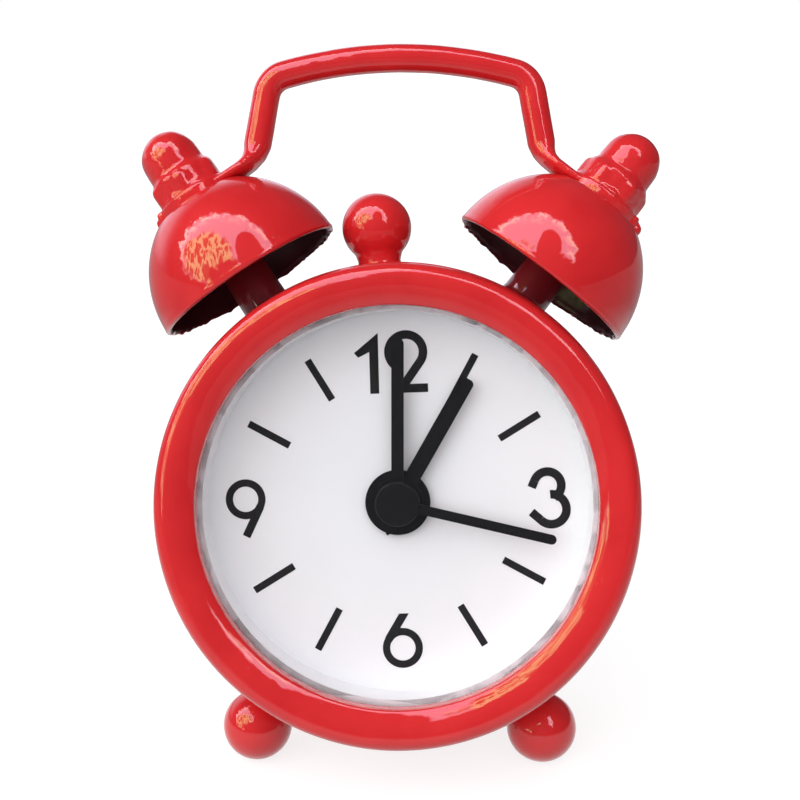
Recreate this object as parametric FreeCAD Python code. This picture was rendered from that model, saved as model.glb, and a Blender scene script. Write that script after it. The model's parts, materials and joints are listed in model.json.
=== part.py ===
import FreeCAD, Part
import math
import os

# A small quartz alarm clock in the twin-bell style. Millimetres.
# Everything is built in the clock's own frame and placed on the table at the end:
# X to the clock's right as the dial is read, Y from the dial to the back, Z towards 12 o'clock.
# The origin is on the clock's axis, in the plane where the front ring is widest.

# Front ring, crystal and dial
ring_outer_radius = 19.15
opening_radius = 15.86
sheet = 0.5
ring_skirt_depth = 1.7
ring_crest_radius = 17.95
ring_rise = 1.645
ring_corner_radius = 1.2
ring_slope_radius = 3.7
crystal_front = 0.4
crystal_thickness = 0.8
crystal_radius = 16.3
dial_ring_bore = 15.6
dial_ring_radius = 16.4
dial_ring_flange_radius = 18.3
dial_depth = 4.2
dial_radius = 16.2
dial_thickness = 0.3
dial_turn = -2.0
print_shift = (-0.15, -0.08)
ink = 0.03

# Case drum
case_radius = 19.2
case_wall = 0.6
case_bead_radius = 19.5
case_bead_width = 1.0
case_front_lip_radius = 17.6
case_back = 18.5
case_back_lip_radius = 17.9
case_corner = 0.8

# Bells, posts, nuts and balls stand around the drum in this plane.
# Each bell leans outward by its own angle, as they were screwed on by hand. Its axis passes the
# clock's axis at the offset, counted outward, and its rim is at the distance along that axis.
# Its nut shows a corner of the hexagon to the front at no turn, and a flat at 30 degrees.
ornament_plane = 6.5
left_bell = {"lean": 33.5, "offset": 0.3, "rim": 22.0, "nut_turn": 0.0}
right_bell = {"lean": 38.0, "offset": -2.1, "rim": 21.6, "nut_turn": 30.0}
bell_rim_radius = 8.25
bell_height = 9.1
bell_top_rise = 7.9
bell_wall = 0.5
dome_steps = 8
post_radius = 2.0
long_screw_radius = 1.5
long_screw_head_radius = 2.5
long_screw_head_height = 1.5
long_screw_reach = 12.0
long_screw_slot_width = 0.7
long_screw_slot_depth = 0.8
screw_room = 0.05
nut_across_flats = 5.5
nut_hex_height = 1.9
nut_chamfer = 0.35
nut_dome_radius = 2.34
nut_dome_rise = 3.5
nut_bore_depth = 3.6
ball_radius = 2.89
ball_neck_radius = 1.7
top_knob_angle = -4.7
top_knob_distance = 22.8
foot_angle = 148.0
foot_distance = 22.55
ball_screw_radius = 1.0
ball_screw_head_radius = 1.9
ball_screw_head_height = 1.3
ball_screw_slot_width = 0.5
ball_screw_slot_depth = 0.6

# Handle: a bent rod whose ends are flattened into eyelets under the nuts
rod_radius = 1.04
handle_top = 36.86
arch_radius = 36.0
arch_turn = 15.5
corner_radius = 2.1
corner_turn = 64.5
leg_length = 4.3
knee_radius = 3.0
eyelet_thickness = 0.9
eyelet_radius = 3.2
rod_lap = 0.1
web_start = 2.6
web_half_width = 2.1
web_lap = 0.3
section_points = 24
# Half width and half thickness of the rod along the knee and on to the eyelet
flattening = [(1.0, 1.0), (1.25, 0.86), (1.7, 0.62), (2.1, 0.48), (2.3, 0.41)]

# Hands, measured from their own centre
hand_thickness = 0.25
alarm_hand_front = 3.4
hour_hand_front = 2.95
minute_hand_front = 2.5
second_hand_front = 2.05
boss_front = 1.85
alarm_disc_radius = 2.66
alarm_nub_radius = 0.15
alarm_nub_direction = 252.0
alarm_hand_width = 0.7
alarm_hand_length = 9.0
hour_hub_radius = 2.1
hour_hand_width = 1.3
hour_hand_length = 11.6
hour_hand_angle = 29.5
hour_hand_corner = 0.4
minute_hub_radius = 1.7
minute_hand_width = 1.0
minute_hand_length = 13.4
second_boss_radius = 1.8
second_boss_edge = 0.15
second_boss_cap = 0.2
second_hand_width = 0.78
second_hand_length = 13.1
second_hand_angle = 102.8

# Coaxial pipes at the centre, from the inside out
arbor_radius = 0.25
running_room = 0.06
cannon_radius = 0.65
hour_pipe_radius = 1.1
alarm_pipe_radius = 1.55

# Movement plates and back cover
front_plate_radius = 16.2
front_plate_thickness = 0.8
pivot_depth = 0.6
rear_plate_front = 14.2
rear_plate_thickness = 0.8
rear_plate_radius = 13.6
rear_plate_top = 10.8
rear_plate_bottom = -4.5
cover_radius = 17.8
cover_skirt_bore = 17.1
cover_skirt_front = 14.0
cover_inside = 17.3
cover_thickness = 0.8
cover_lug_radius = 18.35
cover_lug_width = 4.0
cover_lug_length = 0.85
cover_lug_angles = (60, 180, 300)
cover_lug_lap = 0.2
pillar_radius = 1.3
pillar_step_radius = 0.85
pillar_spots = [(-11.5, 7.2), (11.5, 7.2), (-9.8, -9.6), (9.8, -9.6)]
small_screw_radius = 0.5
small_screw_head_radius = 0.95
small_screw_head_height = 0.5
small_screw_length = 5.6
small_screw_slot_length = 1.2
small_screw_slot_width = 0.24
small_screw_slot_depth = 0.25
stud_radius = 0.45
minute_stud_overrun = 0.3
idler_stud_overrun = 0.2
coil_boss_radius = 0.7
coil_boss_spot = (-5.2, 8.6)
coil_boss_inset = 0.4
board_boss_radius = 0.8
board_boss_inset = 1.0

# Gears: tooth counts and modules
rotor_teeth = 8
intermediate_teeth = 60
rotor_module = 0.16
intermediate_pinion_teeth = 8
seconds_teeth = 32
seconds_module = 0.27
seconds_pinion_teeth = 8
third_teeth = 60
third_pinion_teeth = 8
centre_teeth = 64
centre_module = 0.15
cannon_teeth = 12
minute_wheel_teeth = 36
cannon_module = 0.25
minute_pinion_teeth = 10
hour_teeth = 40
time_set_teeth = 12
alarm_teeth = 48
idler_teeth = 30
alarm_set_teeth = 14
alarm_module = 0.2

# Where the arbors stand, as directions in degrees from the clock's right towards 12
minute_wheel_direction = -35.0
time_set_direction = 40.0
third_direction = 110.0
intermediate_direction = 40.0
rotor_direction = 75.0

# Depths of the wheels, front face and back face
alarm_wheel_span = (5.5, 6.0)
hour_wheel_span = (6.4, 6.9)
minute_pinion_span = (6.3, 7.4)
minute_wheel_span = (7.4, 7.9)
cannon_pinion_span = (7.2, 8.5)
third_pinion_span = (8.5, 9.8)
centre_wheel_span = (8.7, 9.1)
centre_hub_span = (8.6, 9.4)
seconds_pinion_span = (9.6, 10.9)
third_wheel_span = (9.8, 10.2)
intermediate_pinion_span = (10.7, 11.8)
seconds_wheel_span = (10.9, 11.3)
intermediate_wheel_span = (11.8, 12.1)
rotor_pinion_span = (11.6, 12.4)
magnet_span = (12.4, 13.5)
magnet_radius = 1.2
setting_pinion_room = 0.1

# Knobs at the back
set_shaft_radius = 0.75
set_pivot_radius = 0.45
knob_radius = 2.6
knob_ribs = 18
knob_rib_depth = 0.2
knob_front = 18.3
knob_back = 20.6
knob_bore_depth = 1.6
knob_hollow_radius = 1.7
knob_hollow_depth = 0.5

# Battery, cap and contacts
battery_height = -10.6
battery_radius = 5.8
battery_span = (10.0, 15.4)
battery_step = 0.5
battery_step_radius = 5.0
cradle_radius = 6.5
cradle_bore = 5.9
cradle_back = 15.0
cradle_top = -9.0
cradle_floor_span = (9.2, 9.6)
cap_radius = 6.3
cap_room = 0.05
cap_back = 18.25
cap_boss_radius = 2.0
cap_lug_radius = 7.1
cap_lug_width = 2.0
cap_lug_thickness = 0.6
coin_slot = (7.0, 1.2, 0.5)
contact_thickness = 0.2
contact_width = 2.4
negative_bends = (-5.2, -3.4, -1.0, 1.0, 2.4, 3.4)
positive_direction = -35.0
positive_inset = 2.0
positive_tab = (-3.9, -3.3)
positive_tab_share = 0.84

# Circuit board and what is on it
board_span = (15.2, 15.8)
board_half_width = 7.6
board_bottom = -4.3
board_top = 4.2
board_tab_half_width = 3.0
board_tab_top = 9.2
chip_spot = (3.2, -0.6)
chip_radius = 1.8
chip_height = 0.7
quartz_radius = 0.7
quartz_length = 5.0
quartz_spot = (-6.2, -1.4)

# Coil, stator and sounder
coil_height = 13.0
core_middle = 13.05
core_half_thickness = 0.25
core_half_width = 0.6
core_left = -5.8
core_right = 6.4
winding_radius = 1.9
former_radius = 2.05
former_tube_radius = 1.0
former_left = -4.2
former_right = 3.6
former_cheek = 0.5
stator_hole_radius = 1.5
stator_pad_radius = 2.6
stator_arm = 1.2
stator_slot = 0.2
stator_slot_shift = 0.9
stator_slot_start = 1.35
stator_slot_end = 2.3
sounder_height = 11.2
sounder_radius = 4.5
sounder_thickness = 0.2
ceramic_radius = 3.2
ceramic_thickness = 0.15
sounder_recess_radius = 3.9
sounder_recess = 0.25
sound_hole_radius = 0.5
sound_hole_circle = 2.2
sound_holes = 6
sounder_leaf_spots = ((-1.6, 7.4), (0.9, 8.6))
sounder_leaf_bends = (-1.2, -0.4, 0.4, 1.0)
sounder_leaf_thickness = 0.15
sounder_leaf_width = 0.6

# Alarm switch
switch_height = 5.2
switch_travel = 2.5
switch_stem = (1.4, 1.2)
switch_base = (3.0, 1.9)
switch_base_span = (16.2, 17.1)
switch_back = 19.1
switch_room = 0.1

# How far a cutting shape passes what it cuts, and how far posts and necks are drawn into the drum
# before they are cut to its curve
cutter_lap = 1.0
saddle_lap = 4.0

X_AXIS = FreeCAD.Vector(1, 0, 0)
Y_AXIS = FreeCAD.Vector(0, 1, 0)
Z_AXIS = FreeCAD.Vector(0, 0, 1)
ORIGIN = FreeCAD.Vector(0, 0, 0)


# Geometry helpers

def disc(radius, front, back, at=(0, 0)):
    """A cylinder along the clock's axis, between two depths."""
    base = FreeCAD.Vector(at[0], front, at[1])
    return Part.makeCylinder(radius, back - front, base, Y_AXIS)


def tube(outer, inner, front, back, at=(0, 0)):
    return disc(outer, front, back, at).cut(disc(inner, front, back, at))


def block(left, right, front, back, bottom, top):
    corner = FreeCAD.Vector(left, front, bottom)
    return Part.makeBox(right - left, back - front, top - bottom, corner)


def profile_wire(start, steps, to_point):
    """A closed wire from a start and steps: (a, b) is a line's end, (a, b, c, d) an arc's middle and end."""
    edges = []
    here = start
    for step in steps + [start]:
        end = step[-2:]
        if len(step) == 4:
            arc = Part.Arc(to_point(*here), to_point(*step[:2]), to_point(*end))
            edges.append(arc.toShape())
        elif end != here:
            edges.append(Part.LineSegment(to_point(*here), to_point(*end)).toShape())
        here = end
    return Part.Wire(edges)


def turned(start, steps):
    """Revolves a profile of (radius, depth) points about the clock's axis."""
    wire = profile_wire(start, steps, lambda radius, depth: FreeCAD.Vector(radius, depth, 0))
    return Part.Face(wire).revolve(ORIGIN, Y_AXIS, 360)


def turned_upright(start, steps):
    """Revolves a profile of (radius, distance from the clock's axis) points about the upright in
    the ornament plane."""
    wire = profile_wire(start, steps, lambda radius, far: FreeCAD.Vector(radius, ornament_plane, far))
    return Part.Face(wire).revolve(FreeCAD.Vector(0, ornament_plane, 0), Z_AXIS, 360)


def upright_rod(radius, low, high):
    base = FreeCAD.Vector(0, ornament_plane, low)
    return Part.makeCylinder(radius, high - low, base, Z_AXIS)


def around(shape, angle):
    """Turns a shape about the clock's axis, clockwise as the dial is read."""
    turned_copy = shape.copy()
    turned_copy.rotate(ORIGIN, Y_AXIS, angle)
    return turned_copy


def joined(shapes):
    whole = shapes[0]
    for shape in shapes[1:]:
        whole = whole.fuse(shape)
    return whole.removeSplitter()


def polar(distance, direction, start=(0, 0)):
    """A place in the dial plane, by distance and direction in degrees from the right towards 12."""
    turn = math.radians(direction)
    return (start[0] + distance * math.cos(turn), start[1] + distance * math.sin(turn))


def direction_to(start, end):
    return math.degrees(math.atan2(end[1] - start[1], end[0] - start[0]))


def arc_middle(centre, radius, degrees):
    """The point of a profile's arc at an angle from the profile's first axis."""
    turn = math.radians(degrees)
    return (centre[0] + radius * math.cos(turn), centre[1] + radius * math.sin(turn))


# Gears

pinion_shape = {"addendum": 0.75, "dedendum": 1.2, "width": 0.38, "tip": 0.3}
wheel_shape = {"addendum": 0.85, "dedendum": 1.15, "width": 0.42, "tip": 0.3}


def toothed(teeth, module, span, at, phase, shape):
    """A gear with clock teeth: straight radial roots and tapered tips."""
    pitch_radius = teeth * module / 2
    tip_radius = pitch_radius + shape["addendum"] * module
    root_radius = pitch_radius - shape["dedendum"] * module
    pitch = 360 / teeth
    half = pitch * shape["width"] / 2
    half_tip = half * shape["tip"]
    outline = []
    for index in range(teeth):
        middle = phase + index * pitch
        corners = [(root_radius, -half), (pitch_radius, -half), (tip_radius, -half_tip),
                   (tip_radius, half_tip), (pitch_radius, half), (root_radius, half)]
        for radius, offset in corners:
            x, z = polar(radius, middle + offset, at)
            outline.append(FreeCAD.Vector(x, span[0], z))
    outline.append(outline[0])
    face = Part.Face(Part.makePolygon(outline))
    return face.extrude(Y_AXIS * (span[1] - span[0]))


def pinion(teeth, module, span, at=(0, 0), phase=0.0):
    return toothed(teeth, module, span, at, phase, pinion_shape)


def wheel(teeth, module, span, at=(0, 0), phase=0.0):
    return toothed(teeth, module, span, at, phase, wheel_shape)


def mate_phase(phase, teeth, place, mate_teeth, mate_place):
    """The phase that puts a mate's gap where this gear has a tooth."""
    direction = direction_to(place, mate_place)
    offset = (phase - direction) * teeth / 360
    return direction + 180 - (offset + 0.5) * 360 / mate_teeth


def centres(module, teeth_a, teeth_b):
    return module * (teeth_a + teeth_b) / 2


# The plan of the movement, from the tooth counts

centre_spot = (0.0, 0.0)
cannon_centres = centres(cannon_module, cannon_teeth, minute_wheel_teeth)
minute_pinion_module = 2 * cannon_centres / (minute_pinion_teeth + hour_teeth)
minute_wheel_spot = polar(cannon_centres, minute_wheel_direction)
time_set_spot = polar(centres(cannon_module, time_set_teeth, minute_wheel_teeth),
                      time_set_direction, minute_wheel_spot)
third_centres = centres(centre_module, third_pinion_teeth, centre_teeth)
third_module = 2 * third_centres / (seconds_pinion_teeth + third_teeth)
third_spot = polar(third_centres, third_direction)
intermediate_spot = polar(centres(seconds_module, intermediate_pinion_teeth, seconds_teeth),
                          intermediate_direction)
rotor_spot = polar(centres(rotor_module, rotor_teeth, intermediate_teeth),
                   rotor_direction, intermediate_spot)
alarm_set_spot = (-time_set_spot[0], time_set_spot[1])
idler_reach = centres(alarm_module, alarm_teeth, idler_teeth)
idler_to_set = centres(alarm_module, idler_teeth, alarm_set_teeth)
alarm_set_reach = math.hypot(*alarm_set_spot)
idler_cosine = (idler_reach ** 2 + alarm_set_reach ** 2 - idler_to_set ** 2) / (
    2 * idler_reach * alarm_set_reach)
idler_direction = direction_to(centre_spot, alarm_set_spot) + math.degrees(math.acos(idler_cosine))
idler_spot = polar(idler_reach, idler_direction)
battery_spot = (0.0, battery_height)

dial_back = dial_depth + dial_thickness
plate_back = dial_back + front_plate_thickness
pivot_front = plate_back - pivot_depth
pivot_back = rear_plate_front + pivot_depth
rear_plate_back = rear_plate_front + rear_plate_thickness
cover_back = cover_inside + cover_thickness
crystal_back = crystal_front + crystal_thickness


# Front of the clock

def ring_slope(radius, inset):
    """The point of the front ring's inner slope at a radius, on its face or a sheet behind it."""
    reach = ring_slope_radius - inset
    depth = ring_slope_radius - ring_rise - math.sqrt(reach ** 2 - (ring_crest_radius - radius) ** 2)
    return radius, depth


def ring_corner(inset):
    """The point halfway round the front ring's outer corner."""
    share = (ring_corner_radius - inset) * math.sqrt(0.5)
    return ring_crest_radius + share, ring_corner_radius - ring_rise - share


def front_bezel():
    corner_depth = ring_corner_radius - ring_rise
    edge = opening_radius + sheet
    face_middle = (opening_radius + ring_crest_radius) / 2
    inside_middle = (edge + ring_crest_radius) / 2
    return turned((ring_outer_radius, ring_skirt_depth), [
        (ring_outer_radius, corner_depth),
        (*ring_corner(0), ring_crest_radius, -ring_rise),
        (*ring_slope(face_middle, 0), *ring_slope(opening_radius, 0)),
        (opening_radius, crystal_front),
        (edge, crystal_front),
        ring_slope(edge, sheet),
        (*ring_slope(inside_middle, sheet), ring_crest_radius, sheet - ring_rise),
        (*ring_corner(sheet), ring_outer_radius - sheet, corner_depth),
        (ring_outer_radius - sheet, ring_skirt_depth)])


def crystal():
    return disc(crystal_radius, crystal_front, crystal_back)


def dial_ring():
    return turned((dial_ring_bore, crystal_back), [
        (dial_ring_flange_radius, crystal_back),
        (dial_ring_flange_radius, ring_skirt_depth),
        (dial_ring_radius, ring_skirt_depth),
        (dial_ring_radius, dial_depth),
        (dial_ring_bore, dial_depth)])


def dial():
    return tube(dial_radius, alarm_pipe_radius + 4 * running_room, dial_depth, dial_back)


# Marks printed on the dial, in the dial's own directions

tick_inner = 9.96
tick_outer = 13.78
tick_width = 0.59
stroke = 0.71
baseline_12 = 9.0
numeral_1_outline = [(-3.05, 12.39), (-2.72, 12.0), (-1.8, 12.43), (-1.82, baseline_12),
                     (-1.09, baseline_12), (-1.05, 13.97)]
numeral_2_bowl = (1.2, 12.35)
numeral_2_radius = 1.42
numeral_2_shoulder = -36.5
numeral_2_tail = 232.0
numeral_2_base_end = 2.93
numeral_3_upper = (12.42, 1.02)
numeral_3_upper_radius = 1.13
numeral_3_upper_end = (11.12, 0.88)
numeral_3_upper_arc = (-62, 158)
numeral_3_lower = (12.68, -0.95)
numeral_3_lower_radius = 1.23
numeral_3_lower_end = (11.05, -1.13)
numeral_3_lower_arc = (-137, 93)
numeral_6_bowl = (0.12, -12.0)
numeral_6_tail = (0.47, -8.9)
numeral_6_top = -9.16
numeral_9_bowl = (-12.43, 0.66)
numeral_9_tail = (-12.47, -2.42)
round_bowl_radius = 1.35
round_bowl_weight = 0.85
tail_weight = 0.95


def mark_plane(across, up):
    return FreeCAD.Vector(across, dial_depth - ink, up)


def printed(wire):
    return Part.Face(wire).extrude(Y_AXIS * ink)


def flat_shape(corners):
    return printed(Part.makePolygon([mark_plane(*corner) for corner in corners + corners[:1]]))


def straight_stroke(start, end, width):
    length = math.hypot(end[0] - start[0], end[1] - start[1])
    side = (-(end[1] - start[1]) / length * width / 2, (end[0] - start[0]) / length * width / 2)
    return flat_shape([(start[0] + side[0], start[1] + side[1]), (end[0] + side[0], end[1] + side[1]),
                       (end[0] - side[0], end[1] - side[1]),
                       (start[0] - side[0], start[1] - side[1])])


def curved_stroke(centre, radius, first, last, width):
    """A band along an arc about a centre, from one direction to another."""
    half = (first + last) / 2
    outer = radius + width / 2
    inner = radius - width / 2
    wire = profile_wire(polar(outer, first, centre), [
        polar(outer, half, centre) + polar(outer, last, centre),
        polar(inner, last, centre),
        polar(inner, half, centre) + polar(inner, first, centre)], mark_plane)
    return printed(wire)


def ring_stroke(centre, radius, width):
    front = dial_depth - ink
    return tube(radius + width / 2, radius - width / 2, front, dial_depth, centre)


def numeral_2():
    bowl = curved_stroke(numeral_2_bowl, numeral_2_radius, numeral_2_shoulder, numeral_2_tail, stroke)
    heading = numeral_2_shoulder - 90
    inner = polar(numeral_2_radius - stroke / 2, numeral_2_shoulder, numeral_2_bowl)
    outer = polar(numeral_2_radius + stroke / 2, numeral_2_shoulder, numeral_2_bowl)
    feet = []
    for start in (inner, outer):
        run = (baseline_12 - start[1]) / math.sin(math.radians(heading))
        feet.append(polar(run, heading, start))
    diagonal = flat_shape([inner, feet[0], feet[1], outer])
    base = flat_shape([(feet[0][0] + stroke / 2, baseline_12), (numeral_2_base_end, baseline_12),
                       (numeral_2_base_end, baseline_12 + stroke),
                       (feet[0][0] + stroke / 2, baseline_12 + stroke)])
    return joined([bowl, diagonal, base])


def numeral_3():
    upper = curved_stroke(numeral_3_upper, numeral_3_upper_radius, *numeral_3_upper_arc, stroke)
    upper_start = polar(numeral_3_upper_radius, numeral_3_upper_arc[1], numeral_3_upper)
    upper_end = straight_stroke(upper_start, numeral_3_upper_end, stroke)
    lower = curved_stroke(numeral_3_lower, numeral_3_lower_radius, *numeral_3_lower_arc, stroke)
    lower_start = polar(numeral_3_lower_radius, numeral_3_lower_arc[0], numeral_3_lower)
    lower_end = straight_stroke(lower_start, numeral_3_lower_end, stroke)
    return joined([upper, upper_end, lower, lower_end])


def tailed_bowl(centre, tail_end):
    """A ring with a straight tail that leaves it as a tangent: a 6, or a 9."""
    ring = ring_stroke(centre, round_bowl_radius, stroke * round_bowl_weight)
    away = math.hypot(tail_end[0] - centre[0], tail_end[1] - centre[1])
    swing = math.degrees(math.acos(round_bowl_radius / away))
    start = polar(round_bowl_radius, direction_to(centre, tail_end) + swing, centre)
    return joined([ring, straight_stroke(start, tail_end, stroke * tail_weight)])


def numeral_6():
    """The tail of the 6 is cut level."""
    above = block(-round_bowl_radius, round_bowl_radius, dial_depth - 2 * ink, dial_depth,
                  numeral_6_top, numeral_6_top + stroke)
    return tailed_bowl(numeral_6_bowl, numeral_6_tail).cut(above)


def dial_marks():
    ticks = []
    for hour in range(12):
        if hour % 3:
            direction = 90 - 30 * hour
            ticks.append(straight_stroke(polar(tick_inner, direction), polar(tick_outer, direction),
                                         tick_width))
    numerals = [flat_shape(numeral_1_outline), numeral_2(), numeral_3(),
                numeral_6(),
                tailed_bowl(numeral_9_bowl, numeral_9_tail)]
    marks = around(Part.makeCompound(ticks + numerals), dial_turn)
    marks.translate(FreeCAD.Vector(print_shift[0], 0, print_shift[1]))
    return marks


# Case

def on_case(shape, side):
    """Moves what was built upright onto a bell's axis, on the clock's right."""
    placed = shape.copy()
    placed.translate(X_AXIS * side["offset"])
    placed.rotate(ORIGIN, Y_AXIS, side["lean"])
    return placed


def mirrored(shape):
    return shape.mirror(ORIGIN, X_AXIS)


def ornament_hole(radius):
    return upright_rod(radius, case_radius - saddle_lap, case_radius + saddle_lap)


def case_shell():
    corner = (case_radius - case_corner, case_back - case_corner)
    bead_middle = ring_skirt_depth + case_bead_width / 2
    inner_radius = case_radius - case_wall
    shell = turned((case_front_lip_radius, ring_skirt_depth), [
        (case_radius, ring_skirt_depth),
        (case_bead_radius, bead_middle, case_radius, ring_skirt_depth + case_bead_width),
        (case_radius, corner[1]),
        arc_middle(corner, case_corner, 45) + (corner[0], case_back),
        (case_back_lip_radius, case_back),
        (case_back_lip_radius, case_back - case_wall),
        (inner_radius, case_back - case_wall),
        (inner_radius, ring_skirt_depth + case_wall),
        (case_front_lip_radius, ring_skirt_depth + case_wall)])
    long_hole = ornament_hole(long_screw_radius + screw_room)
    shell = shell.cut(on_case(long_hole, right_bell))
    shell = shell.cut(mirrored(on_case(long_hole, left_bell)))
    for angle in (top_knob_angle, -foot_angle, foot_angle):
        shell = shell.cut(around(ornament_hole(ball_screw_radius + screw_room), angle))
    return shell


def drum_saddle():
    """The drum as a full cylinder, to shape what sits on it."""
    return disc(case_radius, ring_skirt_depth, case_back)


# Bells, posts, nuts and their screws, built on the clock's right

def bell(side):
    rim = side["rim"]
    inner_height = bell_height - bell_wall
    inner_radius = bell_rim_radius - bell_wall
    outer_share = math.degrees(math.asin(bell_top_rise / bell_height))
    inner_share = math.degrees(math.asin((bell_top_rise - bell_wall) / inner_height))
    hole = long_screw_radius + screw_room

    def corner(radius, rise):
        return FreeCAD.Vector(radius, ornament_plane, rim + rise)

    def dome_edge(radius, height, first, last):
        """Part of an ellipse as one smooth edge."""
        points = []
        for step in range(dome_steps + 1):
            turn = math.radians(first + (last - first) * step / dome_steps)
            points.append(corner(radius * math.cos(turn), height * math.sin(turn)))
        curve = Part.BSplineCurve()
        curve.interpolate(points)
        return curve.toShape(), points

    outer, outer_points = dome_edge(bell_rim_radius, bell_height, 0, outer_share)
    inner, inner_points = dome_edge(inner_radius, inner_height, inner_share, 0)
    hole_top = corner(hole, bell_top_rise)
    hole_bottom = corner(hole, bell_top_rise - bell_wall)
    wire = Part.Wire([
        outer,
        Part.LineSegment(outer_points[-1], hole_top).toShape(),
        Part.LineSegment(hole_top, hole_bottom).toShape(),
        Part.LineSegment(hole_bottom, inner_points[0]).toShape(),
        inner,
        Part.LineSegment(inner_points[-1], outer_points[0]).toShape()])
    dome = Part.Face(wire).revolve(FreeCAD.Vector(0, ornament_plane, 0), Z_AXIS, 360)
    return on_case(dome, side)


def bell_post(side):
    top = side["rim"] + bell_top_rise - bell_wall
    low = case_radius - saddle_lap
    post = upright_rod(post_radius, low, top)
    post = post.cut(upright_rod(long_screw_radius + screw_room, low, top))
    return on_case(post, side).cut(drum_saddle())


def head_seat(head_radius, offset=0.0):
    """How far from the clock's axis a flat screw head can sit inside the round wall."""
    return math.sqrt((case_radius - case_wall) ** 2 - (head_radius + abs(offset)) ** 2)


def long_screw(side):
    radius = long_screw_head_radius
    seat = head_seat(radius, side["offset"])
    low = seat - long_screw_head_height
    head = upright_rod(radius, low, seat)
    half_slot = long_screw_slot_width / 2
    slot = block(-radius, radius, ornament_plane - half_slot, ornament_plane + half_slot,
                 low, low + long_screw_slot_depth)
    shank = upright_rod(long_screw_radius, seat, side["rim"] + long_screw_reach)
    return on_case(joined([head, shank]).cut(slot), side)


def bell_nut(side):
    base = side["rim"] + bell_top_rise + eyelet_thickness
    hex_top = base + nut_hex_height
    corner_reach = nut_across_flats / math.sqrt(3)
    corners = []
    for index in range(7):
        turn = math.radians(30 + side["nut_turn"] + 60 * index)
        corners.append(FreeCAD.Vector(corner_reach * math.cos(turn),
                                      ornament_plane + corner_reach * math.sin(turn), base))
    hexagon = Part.Face(Part.makePolygon(corners)).extrude(Z_AXIS * nut_hex_height)
    flat = nut_across_flats / 2
    envelope = turned_upright((0, base), [
        (flat, base),
        (corner_reach, base + nut_chamfer),
        (corner_reach, hex_top - nut_chamfer),
        (flat, hex_top),
        (0, hex_top)])
    dome_middle = base + nut_dome_rise
    dome = turned_upright((0, base), [
        (nut_dome_radius, base),
        (nut_dome_radius, dome_middle),
        arc_middle((0, dome_middle), nut_dome_radius, 45) + (0, dome_middle + nut_dome_radius)])
    nut = joined([hexagon.common(envelope), dome])
    return on_case(nut.cut(upright_rod(long_screw_radius, base, base + nut_bore_depth)), side)


# Balls

def ball(distance, angle):
    """A ball on a short neck, tapped from below, shaped to the drum."""
    sphere = Part.makeSphere(ball_radius, FreeCAD.Vector(0, ornament_plane, distance))
    neck = upright_rod(ball_neck_radius, case_radius - saddle_lap, distance)
    bore = upright_rod(ball_screw_radius, case_radius - saddle_lap, distance)
    return around(joined([sphere, neck]).cut(bore), angle).cut(drum_saddle())


def ball_screw(distance, angle):
    radius = ball_screw_head_radius
    seat = head_seat(radius)
    low = seat - ball_screw_head_height
    head = upright_rod(radius, low, seat)
    shank = upright_rod(ball_screw_radius, seat, distance)
    half_slot = ball_screw_slot_width / 2
    slot = block(-radius, radius, ornament_plane - half_slot, ornament_plane + half_slot,
                 low, low + ball_screw_slot_depth)
    return around(joined([head, shank]).cut(slot), angle)


# Handle

def in_plane(flat):
    return FreeCAD.Vector(flat[0], ornament_plane, flat[1])


def bent(place, heading, radius, turn):
    """The place and heading after a bend, and the point halfway along it."""
    side = 90 if turn > 0 else -90
    middle = polar(radius, heading + side, place)
    halfway = polar(radius, heading - side + turn / 2, middle)
    end = polar(radius, heading - side + turn, middle)
    return end, heading + turn, halfway


def rod_section(place, heading, half_width, half_thickness):
    """A smooth closed section across the rod's path, wide along the clock's depth."""
    across = polar(1, heading + 90)
    points = []
    for index in range(section_points):
        turn = math.tau * index / section_points
        side = half_thickness * math.cos(turn)
        points.append(FreeCAD.Vector(place[0] + across[0] * side,
                                     ornament_plane + half_width * math.sin(turn),
                                     place[1] + across[1] * side))
    curve = Part.BSplineCurve()
    curve.interpolate(points, PeriodicFlag=True)
    return Part.Wire([curve.toShape()])


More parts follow.
